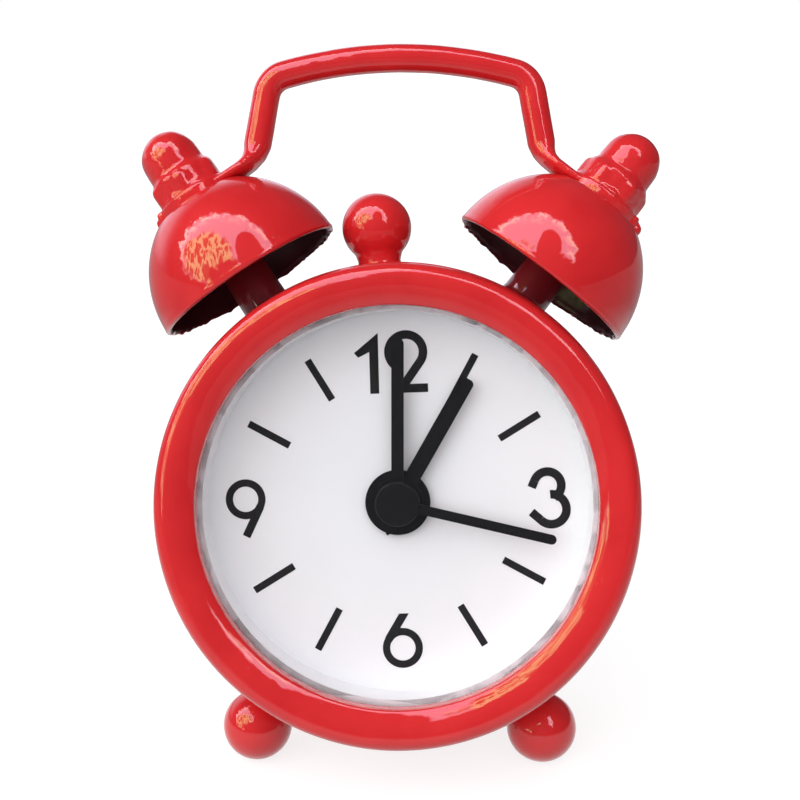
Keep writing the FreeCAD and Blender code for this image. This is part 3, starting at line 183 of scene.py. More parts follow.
def raise_rings(profile, segments, add=False):
    """Draws a circle and extrudes it from ring to ring along a profile of (radius, height)."""
    if not add:
        begin()
    radius, height = profile[0]
    bpy.ops.mesh.primitive_circle_add(vertices=segments, radius=radius * mm,
                                      location=(0, 0, height * mm))
    if not add:
        leave_edit()
        edit()
    for next_radius, next_height in profile[1:]:
        rise = (0, 0, (next_height - height) * mm)
        share = next_radius / radius
        bpy.ops.mesh.extrude_region_move(TRANSFORM_OT_translate={"value": rise})
        bpy.ops.transform.resize(value=(share, share, 1), center_override=(0, 0, next_height * mm))
        radius, height = next_radius, next_height


def close_ends():
    """Caps the open rings of a turned piece and points its faces outward."""
    bpy.ops.mesh.select_all(action="SELECT")
    bpy.ops.mesh.fill_holes(sides=0)
    bpy.ops.mesh.normals_make_consistent(inside=False)
    leave_edit()


def close_loop():
    """Joins the last ring of a turned section to its first."""
    bpy.ops.mesh.select_mode(type="EDGE")
    bpy.ops.mesh.select_all(action="DESELECT")
    bpy.ops.mesh.select_non_manifold(extend=False)
    bpy.ops.mesh.bridge_edge_loops()
    bpy.ops.mesh.select_all(action="SELECT")
    bpy.ops.mesh.normals_make_consistent(inside=False)
    leave_edit()


def arc(middle, radius, first, last, steps, squash=1.0):
    """Points (radius, height) of a profile along an arc, by angles from the level."""
    points = []
    for step in range(steps + 1):
        turn = math.radians(first + (last - first) * step / steps)
        points.append((middle[0] + radius * math.cos(turn),
                       middle[1] + radius * squash * math.sin(turn)))
    return points


def melt(voxel, rounds):
    """Runs joined shapes together under one skin, as thick paint does."""
    apply_modifier("REMESH", mode="VOXEL", voxel_size=voxel * mm)
    apply_modifier("SMOOTH", factor=paint_slack, iterations=rounds)


def thicken(depth):
    """Adds a coat of paint all round."""
    edit()
    bpy.ops.mesh.select_all(action="SELECT")
    bpy.ops.transform.shrink_fatten(value=depth * mm)
    leave_edit()


def unevenness(size, depth, measure=None):
    """Lets the paint swell and sink, everywhere or as far as a measure from 0 to 1 says."""
    piece = active()
    runs = bpy.data.textures.new(f"{piece.name} paint", "CLOUDS")
    runs.noise_scale = size * mm
    settings = {"texture": runs, "texture_coords": "LOCAL", "strength": depth * mm,
                "mid_level": 0.5}
    if measure:
        group = piece.vertex_groups.new(name="paint")
        for vertex in piece.data.vertices:
            share = measure(vertex.co / mm)
            if share > 0:
                group.add([vertex.index], min(share, 1.0), "REPLACE")
        settings["vertex_group"] = group.name
    apply_modifier("DISPLACE", **settings)
    piece.vertex_groups.clear()


def mark(name, measure):
    """Stores a number from 0 to 1 on each vertex, for a finish to read."""
    piece = active()
    field = piece.data.attributes.new(name, "FLOAT", "POINT")
    for vertex in piece.data.vertices:
        field.data[vertex.index].value = min(max(measure(vertex.co / mm), 0.0), 1.0)


def settle(name, place, node, finish="red_enamel"):
    """Puts a finished mesh where it belongs, with its object at the origin, in place of a node."""
    leave_edit()
    piece = active()
    piece.name = name
    piece.data.name = name
    piece.data.transform(place)
    bpy.ops.object.shade_smooth()
    piece.data.materials.clear()
    piece.data.materials.append(finishes[finish])
    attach(piece, "clock")
    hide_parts(node)
    return piece


# Finishes

class Wiring:
    """Nodes of a finish or of the world, added by kind and wired to each other."""

    def __init__(self, owner):
        owner.use_nodes = True
        self.nodes = owner.node_tree.nodes
        self.links = owner.node_tree.links

    def add(self, kind, **settings):
        node = self.nodes.new(kind)
        for key, value in settings.items():
            setattr(node, key, value)
        return node

    def plug(self, socket, value):
        if isinstance(value, bpy.types.NodeSocket):
            self.links.new(value, socket)
        else:
            socket.default_value = value

    def math(self, operation, *values, clamp=False):
        node = self.add("ShaderNodeMath", operation=operation, use_clamp=clamp)
        for socket, value in zip(node.inputs, values):
            self.plug(socket, value)
        return node.outputs[0]

    def mix(self, share, first, second):
        node = self.add("ShaderNodeMix", data_type="RGBA")
        sockets = (node.inputs[0], node.inputs[6], node.inputs[7])
        for socket, value in zip(sockets, (share, first, second)):
            self.plug(socket, value)
        return node.outputs[2]


class Finish(Wiring):
    """A material under construction."""

    socket_names = {
        "color": "Base Color", "rough": "Roughness", "metal": "Metallic", "coat": "Coat Weight",
        "coat_rough": "Coat Roughness", "coat_ior": "Coat IOR", "ior": "IOR", "alpha": "Alpha",
        "specular": "Specular IOR Level"}

    def __init__(self, name):
        self.material = bpy.data.materials.new(name)
        super().__init__(self.material)
        self.shader = self.nodes["Principled BSDF"]
        self.object_place = self.add("ShaderNodeTexCoord").outputs["Object"]

    def set(self, **values):
        """Values that are the same all over."""
        for key, value in values.items():
            self.shader.inputs[self.socket_names[key]].default_value = value
        return self

    def wire(self, source, name):
        self.links.new(source, self.shader.inputs[self.socket_names[name]])

    def noise(self, scale, detail=2.0, rough=0.5):
        node = self.add("ShaderNodeTexNoise")
        node.inputs["Scale"].default_value = scale
        node.inputs["Detail"].default_value = detail
        node.inputs["Roughness"].default_value = rough
        self.links.new(self.object_place, node.inputs["Vector"])
        return node.outputs["Fac"]

    def between(self, source, low, high, first=0.0, last=1.0):
        """Goes from first to last while the source goes from low to high."""
        node = self.add("ShaderNodeMapRange", clamp=True)
        for socket, value in zip(node.inputs, (source, low, high, first, last)):
            self.plug(socket, value)
        return node.outputs[0]

    def bump(self, height, strength, distance, coat=False):
        node = self.add("ShaderNodeBump")
        node.inputs["Strength"].default_value = strength
        node.inputs["Distance"].default_value = distance
        self.links.new(height, node.inputs["Height"])
        self.links.new(node.outputs["Normal"], self.shader.inputs["Normal"])
        if coat:
            self.links.new(node.outputs["Normal"], self.shader.inputs["Coat Normal"])


bare_metal = (0.62, 0.61, 0.60, 1)
paint_rough = 0.42
metal_rough = 0.28
dust_height = 0.16
swell_depth = 0.0002


def enamel(name, color, deep, coat=1.0, coat_rough=0.03):
    """Thick glossy enamel: slow swells, a few grains of dust under the gloss, a deeper tone where
    it has pooled, and bare metal where it was scraped off an edge."""
    finish = Finish(name).set(coat=coat, coat_rough=coat_rough, coat_ior=1.45, specular=0.08)
    pools = finish.between(finish.noise(260.0, detail=3.0), low=0.3, high=0.75)
    paint = finish.mix(pools, (*color, 1), (*deep, 1))
    scraped = finish.add("ShaderNodeAttribute", attribute_name="bare").outputs["Fac"]
    finish.wire(finish.mix(scraped, paint, bare_metal), "color")
    finish.wire(scraped, "metal")
    finish.wire(finish.between(scraped, 0.0, 1.0, paint_rough, metal_rough), "rough")
    swells = finish.noise(300.0, rough=0.45)
    dust = finish.between(finish.noise(2600.0, detail=1.0), low=0.76, high=0.82, last=dust_height)
    finish.bump(finish.math("ADD", swells, dust), 0.35, swell_depth, coat=True)
    return finish.material


def plain(name, color, rough=0.5, metal=0.0, grain=900.0, depth=0.00002, change=0.1, **more):
    """A moulded, printed or sheet finish with a faint grain and slight unevenness."""
    finish = Finish(name).set(rough=rough, metal=metal, **more)
    darker = tuple(part * (1 - change) for part in color)
    cloud = finish.between(finish.noise(grain * 0.25, detail=3.0), low=0.3, high=0.7)
    finish.wire(finish.mix(cloud, (*color, 1), (*darker, 1)), "color")
    finish.bump(finish.noise(grain * 4), 0.25, depth)
    return finish.material


def clear_crystal():
    """Thin flat plastic that is almost all see-through, with a little gloss."""
    finish = Finish("clear crystal").set(rough=0.03, ior=1.49, alpha=0.012, specular=0.3)
    haze = finish.between(finish.noise(40.0), low=0.3, high=0.7)
    finish.wire(finish.mix(haze, (0.3, 0.3, 0.31, 1), (0.28, 0.28, 0.29, 1)), "color")
    finish.material.surface_render_method = "BLENDED"
    return finish.material


def build_finishes(looks):
    inside = looks.enamel_inside_shaded
    shade = looks.post_painted_shade
    return {
        "red_enamel": enamel("red enamel", looks.enamel_red, looks.enamel_deep),
        # The bells' inner faces are far darker than the outside: a thinner coat, and painted shade inside the
        # hollow as well
        "inner_enamel_shaded": enamel("thin enamel inside the bells with painted shade", inside,
                               [part * 0.5 for part in inside], 0.12, 0.15),
        # The posts are darker than the other enamel: painted shade, where the bells above shade them
        "post_enamel_painted_shade": enamel("enamel of the posts darkened as painted shade", shade, [part * 0.7 for part in shade]),
        "clear_crystal": clear_crystal(),
        "white_plastic": plain("white ring plastic", (0.97, 0.98, 1.0), 0.3,
                               change=0.01, coat=0.3),
        "dial_white": plain("dial card", (0.87, 0.89, 0.90), 0.6, change=0.02, specular=0.2),
        "black_ink": plain("black print", (0.007, 0.007, 0.010), 0.6, specular=0.2),
        "black_hands": plain("black hand paint", (0.006, 0.006, 0.008), 0.42,
                             grain=1500.0, depth=0.00003, specular=0.12),
        "steel": plain("plain steel", (0.46, 0.46, 0.47), 0.32, 1.0),
        "black_plastic": plain("black plastic", (0.022, 0.022, 0.024), 0.4),
        "movement_plastic": plain("movement plastic", (0.66, 0.66, 0.62), 0.45),
        "gear_plastic": plain("gear plastic", (0.78, 0.78, 0.74), 0.4),
        "copper_wire": plain("copper wire", (0.65, 0.22, 0.09), 0.3, 1.0),
        "magnet": plain("magnet", (0.07, 0.07, 0.08), 0.45, 0.6),
        "board_green": plain("board lacquer", (0.02, 0.14, 0.055), 0.35),
        "black_resin": plain("black resin", (0.01, 0.01, 0.011), 0.15),
        "brass_disc": plain("sounder brass", (0.72, 0.48, 0.18), 0.3, 1.0),
        "ceramic_layer": plain("silvered ceramic", (0.78, 0.77, 0.74), 0.35, 0.4),
    }


# What a user would change

class ClockLooks(bpy.types.PropertyGroup):
    enamel_red: FloatVectorProperty(
        name="Enamel red", description="Colour of the enamel",
        subtype="COLOR", size=3, default=(0.70, 0.022, 0.024), min=0, max=1)
    enamel_deep: FloatVectorProperty(
        name="Pooled enamel", description="Colour where the enamel is thickest",
        subtype="COLOR", size=3, default=(0.62, 0.015, 0.018), min=0, max=1)
    # Darker than the outer enamel: a thinner coat, and painted shade inside the bells as well
    enamel_inside_shaded: FloatVectorProperty(
        name="Inner enamel with painted shade", description="Colour of the thin coat in the bells, darkened as painted shade",
        subtype="COLOR", size=3, default=(0.085, 0.016, 0.022), min=0, max=1)
    # Darker than the outer enamel: painted shade, where the bells shade the posts
    post_painted_shade: FloatVectorProperty(
        name="Post enamel with painted shade", description="Colour of the enamel on the posts, darkened as painted shade",
        subtype="COLOR", size=3, default=(0.20, 0.008, 0.012), min=0, max=1)
    bell_wall: FloatProperty(
        name="Bell wall", description="Thickness of the painted bell's wall",
        subtype="DISTANCE", unit="LENGTH", default=0.0005, min=0.0003, max=0.001)
    bell_segments: IntProperty(
        name="Bell segments", description="Faces around a bell",
        default=160, min=32, max=256)
    rim_drips: FloatProperty(
        name="Rim drips", description="How far the paint runs in drips along a bell's rim",
        subtype="DISTANCE", unit="LENGTH", default=0.00045, min=0.0, max=0.001)


def looks_of(context):
    return context.scene.clock_looks


finishes = {}


class CLOCK_OT_finishes(bpy.types.Operator):
    """Give every modelled part its finish"""
    bl_idname = "clock.finishes"
    bl_label = "Finishes"

    def execute(self, context):
        finishes.update(build_finishes(looks_of(context)))
        slots = {row["node"]: row["material_slot"] for row in frame["record"]["subparts"]}
        for name, piece in frame["nodes"].items():
            piece.data.materials.clear()
            piece.data.materials.append(finishes[slots[name]])
        return {"FINISHED"}


# Drum and front ring

drum_segments = 256
drum_rounding = 0.12
drum_middle = 9.0
bead_margin = 0.3
ring_rounding = 0.15
ring_overlap = 0.05
ring_swell = (9.0, 0.04)


def drum():
    """The drum's sheet, with a rolled bead near its front and a rounded corner at its back."""
    bead_height = -(case_front + case_bead_width / 2)
    bead_depth = case_bead_radius - case_radius
    corner = (case_radius - case_corner, -(case_back - case_corner))
    inner_radius = case_radius - case_wall
    inner_back = -(case_back - case_wall)
    inner_front = -(case_front + case_wall)
    profile = [(case_front_lip, -case_front), (case_radius, -case_front)]
    profile += arc((case_radius, bead_height), bead_depth, first=80, last=-80, steps=8,
                   squash=case_bead_width / 2 / bead_depth)
    profile += [(case_radius, -(case_front + case_bead_width + bead_margin)),
                (case_radius, -drum_middle)]
    profile += arc(corner, case_corner, first=0, last=-90, steps=8)
    profile += [(case_back_lip, -case_back), (case_back_lip, inner_back),
                (inner_radius, inner_back), (inner_radius, inner_front),
                (case_front_lip, inner_front)]
    raise_rings(profile, drum_segments)
    close_loop()
    round_edges(drum_rounding, segments=3)
    settle("case_enamel", dial_place, "case_shell")


def ring_face(inset, edge, steps):
    """The ring's face from its outer side over the crest and down the slope to its inner edge."""
    corner = (ring_crest_radius, ring_rise - ring_corner_radius)
    slope = (ring_crest_radius, ring_rise - ring_slope_radius)
    reach = ring_slope_radius - inset
    turn = 90 + math.degrees(math.asin((ring_crest_radius - edge) / reach))
    return (arc(corner, ring_corner_radius - inset, first=0, last=90, steps=steps)
            + arc(slope, reach, first=90, last=turn, steps=steps)[1:])


def front_ring():
    """The rolled front ring, its crest near its outer side and its inner edge turned back."""
    skirt = -case_front + ring_overlap
    edge = opening_radius + ring_sheet
    profile = [(ring_radius, skirt)] + ring_face(0, opening_radius, steps=18)
    profile += [(opening_radius, -ring_lip_depth), (edge, -ring_lip_depth)]
    profile += ring_face(ring_sheet, edge, steps=8)[::-1] + [(ring_radius - ring_sheet, skirt)]
    raise_rings(profile, drum_segments)
    close_loop()
    round_edges(ring_rounding, segments=4)
    unevenness(*ring_swell)
    settle("front_ring_enamel", dial_place, "front_bezel")


class CLOCK_OT_case(bpy.types.Operator):
    """Model the enamelled drum and the rolled ring on its front"""
    bl_idname = "clock.case"
    bl_label = "Drum and front ring"

    def execute(self, context):
        drum()
        front_ring()
        return {"FINISHED"}


# Bells and their posts

lip_height = 0.28
lip_swell = 0.03
crown_rings = ((3.2, 0.02), (1.6, 0.03))
drip_width = 0.75
dome_swell = (7.0, 0.08)
dome_swell_start = 0.5
dome_swell_rise = 2

# How much the rim's paint runs: half way along the clock's depth, at least, and up the bell
drip_share = 0.5
drip_least = 0.12
drip_depth = 3.0
drip_start = 0.05
drip_rise = 0.5

# Where the paint is scraped off a bell's rim: across, along the clock's depth, and how far
rim_scrapes = {
    "bell_left": ((8.1, 0.2, 0.5), (7.8, 2.4, 0.35), (-8.1, 0.2, 0.55), (-7.7, 2.7, 0.3)),
    "bell_right": ((8.1, 0.2, 0.6), (7.4, 3.4, 0.35), (6.3, 5.2, 0.4), (4.6, 6.8, 0.45),
                   (-8.1, 0.3, 0.4)),
}
scrape_rise = 0.2
scrape_edge = 0.15

# The post's rings near the drum and near the bell, as paint on its radius and height over its
# foot or its top
post_flare = ((0.5, 0.0), (0.5, 0.9), (0.28, 1.25), (0.1, 1.6), (0.0, 2.1))
post_top_flare = ((0.12, -0.35), (0.45, 0.0))
post_flares_length = 3.0
post_rings = 6
post_waist = 0.02
post_segments = 64
post_sunk = 1.4
post_sunk_share = 0.05
post_top_gap = 0.45
post_swell = (2.5, 0.08)


def scrape_depth(spot, across, along, reach):
    """1 in the middle of a scrape, falling to 0 at its edge, on the lower edge of the rim only."""
    if spot.z > scrape_rise:
        return 0.0
    return (reach - math.hypot(spot.x - across, spot.y - along)) / scrape_edge


def inner_faces(wall):
    """The faces inside a bell, found before it is put in its place."""
    reach = bell_radius - wall / 2
    rise = bell_height - wall / 2
    found = []
    for face in active().data.polygons:
        spot = face.center / mm
        if (spot.x / reach) ** 2 + (spot.y / reach) ** 2 + (spot.z / rise) ** 2 < 1:
            found.append(face.index)
    return found


def rim_paint(spot):
    """How much the paint runs: in drips at the back of the rim, hardly at its front."""
    back = min(max(drip_share + spot.y / drip_depth, drip_least), 1.0)
    return back * (1 - max(spot.z - drip_start, 0) / drip_rise)


def bell(name, side, looks):
    """A dipped bell: paint hangs in drips along its rim, and its two tips are scraped bare."""
    wall = looks.bell_wall / mm
    inner_radius = bell_radius - wall
    inner_height = bell_height - wall
    inner_last = math.degrees(math.asin((bell_top - wall) / inner_height))
    outer_last = math.degrees(math.asin(bell_top / bell_height))
    ceiling = [(crown_rings[-1][0], bell_top - wall)]
    inner = arc((0, 0), inner_radius, first=inner_last, last=4, steps=30,
                squash=inner_height / inner_radius)
    edge = arc((bell_radius - wall / 2, lip_height), wall / 2 + lip_swell, first=-180, last=0,
               steps=8, squash=0.9)
    outer = arc((0, 0), bell_radius, first=3, last=outer_last, steps=40,
                squash=bell_height / bell_radius)
    crown = [(radius, bell_top + rise) for radius, rise in crown_rings]
    raise_rings(ceiling + inner + edge + outer + crown, looks.bell_segments)
    close_ends()
    unevenness(drip_width, looks.rim_drips / mm, rim_paint)
    unevenness(*dome_swell, lambda spot: (spot.z - dome_swell_start) / dome_swell_rise)
    mark("bare", lambda spot: max(scrape_depth(spot, *scrape) for scrape in rim_scrapes[name]))
    inside = inner_faces(wall)
    place = upright_place(side) @ Matrix.Translation((0, 0, side["rim"] * mm))
    piece = settle(name + "_enamel", place, name)
    # The inner faces take the darker enamel: a thinner coat, and painted shade inside the hollow
    piece.data.materials.append(finishes["inner_enamel_shaded"])
    for index in inside:
        piece.data.polygons[index].material_index = 1


def post(name, side):
    """The bell's post, with paint gathered where it meets the drum and the bell."""
    top = side["rim"] + bell_top - post_top_gap
    foot = case_radius - post_sunk - abs(side["offset"]) * post_sunk_share
    shaft = foot + post_flare[-1][1]
    profile = [(post_radius + paint, foot + rise) for paint, rise in post_flare]
    length = top - foot - post_flares_length
    profile += [(post_radius - post_waist, shaft + length * step / post_rings)
                for step in range(1, post_rings + 1)]
    profile += [(post_radius + paint, top + rise) for paint, rise in post_top_flare]
    raise_rings(profile, post_segments)
    close_ends()
    unevenness(*post_swell)
    # The post takes a darker enamel as painted shade from the bell above it
    settle(name + "_enamel", upright_place(side), name, finish="post_enamel_painted_shade")


class CLOCK_OT_bells(bpy.types.Operator):
    """Model both bells, dipped in thick enamel, and the posts that carry them"""
    bl_idname = "clock.bells"
    bl_label = "Bells and posts"

    def execute(self, context):
        bell("bell_left", left_bell, looks_of(context))
        bell("bell_right", right_bell, looks_of(context))
        post("bell_post_left", left_bell)
        post("bell_post_right", right_bell)
        return {"FINISHED"}


# Nuts

nut_rounding = 0.45
nut_collar = 0.45
nut_collar_inset = 0.1
nut_dome_foot = 0.05
nut_skirt = ((3.0, -0.02), (3.0, 0.1), (2.8, 0.45), (2.55, 0.9))
nut_segments = 64
nut_swell = (1.6, 0.12)


def nut(name, side):
    """A domed nut drowned in paint, which rounds its corners and runs out in a skirt below."""
    begin()
    reach = nut_flats / math.sqrt(3)
    bpy.ops.mesh.primitive_cylinder_add(vertices=6, radius=reach * mm, depth=nut_hex_height * mm,
                                        location=(0, 0, nut_hex_height / 2 * mm),
                                        rotation=(0, 0, math.radians(side["nut_turn"] + 30)))
    leave_edit()
    edit()
    bpy.ops.mesh.select_all(action="SELECT")
    bpy.ops.mesh.bevel(offset=nut_rounding * mm, segments=3)
    collar_radius = nut_dome_radius + nut_collar
    collar = [(collar_radius, nut_collar_inset),
              (collar_radius, nut_hex_height - nut_collar_inset),
              (nut_dome_radius + nut_dome_foot, nut_hex_height + nut_collar),
              (nut_dome_radius, nut_dome_rise)]
    dome = arc((0, nut_dome_rise), nut_dome_radius, first=6, last=86, steps=14)
    raise_rings(collar + dome, nut_segments, add=True)
    raise_rings(nut_skirt, nut_segments, add=True)
    bpy.ops.mesh.select_all(action="SELECT")
    bpy.ops.mesh.fill_holes(sides=0)
    leave_edit()
    melt(voxel=0.075, rounds=24)
    thicken(nut_paint)
    unevenness(*nut_swell)
    base = side["rim"] + bell_top + eyelet_thickness
    place = upright_place(side) @ Matrix.Translation((0, 0, base * mm))
    settle(name + "_enamel", place, name)


class CLOCK_OT_nuts(bpy.types.Operator):
    """Model the two domed nuts on the bells"""
    bl_idname = "clock.nuts"
    bl_label = "Nuts"

    def execute(self, context):
        nut("bell_nut_left", left_bell)
        nut("bell_nut_right", right_bell)
        return {"FINISHED"}


# Balls

# The neck's rings, as radius and height over the drum
neck_flare = ((2.75, -0.45), (2.5, -0.15), (2.2, 0.02), (1.98, 0.2), (1.82, 0.45),
              (ball_neck_radius + 0.04, 0.75))
neck_fillet = 0.25
ball_last = 88.5
ball_segments = 96
ball_swell = (3.5, 0.06)


def painted_ball(name, ball):
    """A ball on a short neck, flared by the paint where it meets the drum."""
    profile = [(radius, case_radius + rise) for radius, rise in neck_flare]
    ball_first = -math.degrees(math.acos((ball_neck_radius + neck_fillet) / ball_radius))
    profile += arc((0, ball["distance"]), ball_radius, first=ball_first, last=ball_last, steps=40)
    raise_rings(profile, ball_segments)
    close_ends()
    apply_modifier("SMOOTH", factor=0.4, iterations=3)
    unevenness(*ball_swell)
    settle(name + "_enamel", ball_place(ball), name)


class CLOCK_OT_balls(bpy.types.Operator):
    """Model the ball on top and the two ball feet"""
    bl_idname = "clock.balls"
    bl_label = "Balls"

    def execute(self, context):
        painted_ball("top_knob", top_knob)
        painted_ball("foot_left", foot_left)
        painted_ball("foot_right", foot_right)
        return {"FINISHED"}


# Handle

rod_segments = 48
web_end = 1.0
web_end_section = (2.6, 0.43)
eyelet_segments = 64
stub_size = (1.5, 3.0, eyelet_thickness)
bent_stub_size = (1.2, 2.4, 0.8)
bent_stub_rise = 0.3
bent_stub_turn = 24
stub_drip_radius = 0.42
stub_drip_spot = (0.35, -0.9, 0.1)
handle_swell = (4.0, 0.06)


def polar(distance, direction):
    turn = math.radians(direction)
    return Vector((distance * math.cos(turn), 0, distance * math.sin(turn)))


def handle_path(side):
    """Sections from the middle of the top to a bell: place, heading, half width, half thickness."""
    place = Vector((0, 0, handle_top))
    heading = 0.0
    sections = [(place, heading, rod_radius, rod_radius)]
    for radius, turn, steps in handle_bends:
        middle = place + polar(radius, heading - 90)
        start = heading
        for step in range(1, steps + 1):
            heading = start + turn * step / steps
            place = middle + polar(radius, heading + 90)
            sections.append((place, heading, rod_radius, rod_radius))
    place = place + polar(handle_leg, heading)
    sections.append((place, heading, rod_radius, rod_radius))
    knee_turn = -side["lean"] - heading
    middle = place + polar(knee_radius, heading + 90)
    start = heading
    for step, (width, thickness) in enumerate(knee_sections[:-1], 1):
        heading = start + knee_turn * step / (len(knee_sections) - 1)
        sections.append((middle + polar(knee_radius, heading - 90), heading, width, thickness))
    level = side["rim"] + bell_top + eyelet_thickness / 2
    lean = math.radians(side["lean"])
    for across, (width, thickness) in ((side["offset"] - web_start, knee_sections[-1]),
                                       (side["offset"] - web_end, web_end_section)):
        web = Vector((across * math.cos(lean) + level * math.sin(lean), 0,
                      level * math.cos(lean) - across * math.sin(lean)))
        sections.append((web, -side["lean"], width, thickness))
    return sections


def mirrored_path(sections):
    """The same path on the clock's left, walked back towards the middle."""
    return [(Vector((-place.x, 0, place.z)), -heading, width, thickness)
            for place, heading, width, thickness in reversed(sections)]


def turn_selection(place, degrees):
    bpy.ops.transform.rotate(value=-math.radians(degrees), orient_axis="Y",
                             center_override=place * mm)


def sweep(sections):
    """Extrudes a round section from place to place, turned, widened and flattened on its way."""
    begin()
    place, heading, width, thickness = sections[0]
    bpy.ops.mesh.primitive_circle_add(vertices=rod_segments, radius=1 * mm, location=place * mm,
                                      rotation=(0, math.radians(90), 0))
    leave_edit()
    edit()
    bpy.ops.mesh.select_all(action="SELECT")
    bpy.ops.transform.resize(value=(1, width, thickness), center_override=place * mm)
    turn_selection(place, -heading)
    for next_place, next_heading, next_width, next_thickness in sections[1:]:
        step = (next_place - place) * mm
        bpy.ops.mesh.extrude_region_move(TRANSFORM_OT_translate={"value": step})
        turn_selection(next_place, heading)
        bpy.ops.transform.resize(value=(1, next_width / width, next_thickness / thickness),
                                 center_override=next_place * mm)
        turn_selection(next_place, -next_heading)
        place, heading, width, thickness = next_place, next_heading, next_width, next_thickness


def eyelet(side):
    """The flattened end of the rod under a nut, its outer stub bent down and lumpy with paint."""
    low = side["rim"] + bell_top
    turn = math.radians(side["side"] * side["lean"])
    bent = turn + side["side"] * math.radians(bent_stub_turn)
    swing = Matrix.Rotation(turn, 4, "Y")
    stub_end = stub_middle + side["stub"]
    drip_across, drip_along, drip_up = stub_drip_spot

    def at(across, depth, rise):
        return swing @ (Vector((side["side"] * (side["offset"] + across), depth, low + rise)) * mm)

    def sized(size):
        return [length * mm for length in size]

    bpy.ops.mesh.primitive_cylinder_add(
        vertices=eyelet_segments, radius=eyelet_radius * mm, depth=eyelet_thickness * mm,
        location=at(0, 0, eyelet_thickness / 2), rotation=(0, turn, 0))
    bpy.ops.mesh.primitive_cube_add(
        size=1, location=at(stub_middle, 0, eyelet_thickness / 2), rotation=(0, turn, 0),
        scale=sized(stub_size))
    bpy.ops.mesh.primitive_cube_add(
        size=1, location=at(stub_end, 0, bent_stub_rise), rotation=(0, bent, 0),
        scale=sized(bent_stub_size))
    bpy.ops.mesh.primitive_uv_sphere_add(
        segments=24, ring_count=16, radius=stub_drip_radius * mm,
        location=at(stub_end + drip_across, drip_along, drip_up))


def handle():
    """The whole handle, with an eyelet at each end, run together under one coat of paint."""
    sweep(mirrored_path(handle_path(left_bell)) + handle_path(right_bell)[1:])
    bpy.ops.mesh.select_all(action="SELECT")
    bpy.ops.mesh.fill_holes(sides=0)
    bpy.ops.mesh.normals_make_consistent(inside=False)
    eyelet(left_bell)
    eyelet(right_bell)
    leave_edit()
    melt(voxel=0.095, rounds=12)
    thicken(handle_paint)
    unevenness(*handle_swell)
    place = clock_place @ Matrix.Translation((0, ornament_plane * mm, 0))
    settle("handle_enamel", place, "handle")


class CLOCK_OT_handle(bpy.types.Operator):
    """Model the bent handle with its flattened, painted ends"""
    bl_idname = "clock.handle"
    bl_label = "Handle"

    def execute(self, context):
        handle()
        return {"FINISHED"}


# Floor, light and camera

camera_place = (0.003414, -0.098922, 0.056854)
camera_right = (0.99946749, 0.0316013, -0.0081303)
camera_up = (-0.00058592, 0.26650374, 0.96383371)
camera_ahead = (-0.03262515, 0.96331569, -0.26638034)
film_width = 36
# The focal length as a share of the film's width: 1225 points in a picture 800 points wide
focal_share = 1225 / 800
nearest_seen = 0.005


def camera():
    lens = bpy.data.cameras.new("camera")
    lens.sensor_width = film_width
    lens.lens = film_width * focal_share
    lens.clip_start = nearest_seen
    body = bpy.data.objects.new("camera", lens)
    bpy.context.scene.collection.objects.link(body)
    columns = [Vector(camera_right), Vector(camera_up), -Vector(camera_ahead)]
    turn = Matrix([[column[row] for column in columns] for row in range(3)])
    body.matrix_world = Matrix.Translation(Vector(camera_place)) @ turn.to_4x4()
    bpy.context.scene.camera = body


floor_size = 40
floor_tone = 0.35
floor_fleck = 0.9
floor_glow = 0.80
# In the gloss the floor glows at floor_glow near the clock and fades to the far level beyond: a painted reflection
# under the clock
floor_gloss_far = 0.06
floor_near = 0.045
floor_far = 0.12


def floor_finish():
    """A pale floor that renders near white, also in glass, and takes a shadow; in the gloss it glows brightly only
    near the clock, a painted reflection.
    """
    finish = Finish("pale floor").set(rough=0.9, specular=0.0)
    grain = finish.between(finish.noise(60.0), low=0.3, high=0.7, last=0.04)
    tone = (*[floor_tone] * 3, 1)
    fleck = (*[floor_tone * floor_fleck] * 3, 1)
    finish.wire(finish.mix(grain, tone, fleck), "color")
    path = finish.add("ShaderNodeLightPath").outputs
    away = finish.add("ShaderNodeVectorMath", operation="LENGTH")
    finish.links.new(finish.object_place, away.inputs[0])
    # Painted reflection: a glow seen only in gloss, bright near the clock and fading with distance
    gloss = finish.between(away.outputs["Value"], floor_near, floor_far,
                           first=floor_glow, last=floor_gloss_far)
    gloss = finish.math("MULTIPLY", gloss, path["Is Glossy Ray"])
    seen = finish.math("MAXIMUM", path["Is Camera Ray"], path["Is Transmission Ray"])
    glow = finish.add("ShaderNodeEmission")
    shown = finish.math("MAXIMUM", finish.math("MULTIPLY", seen, floor_glow), gloss)
    finish.links.new(shown, glow.inputs["Strength"])
    both = finish.add("ShaderNodeAddShader")
    finish.links.new(finish.shader.outputs[0], both.inputs[0])
    finish.links.new(glow.outputs[0], both.inputs[1])
    finish.links.new(both.outputs[0], finish.nodes["Material Output"].inputs["Surface"])
    return finish.material


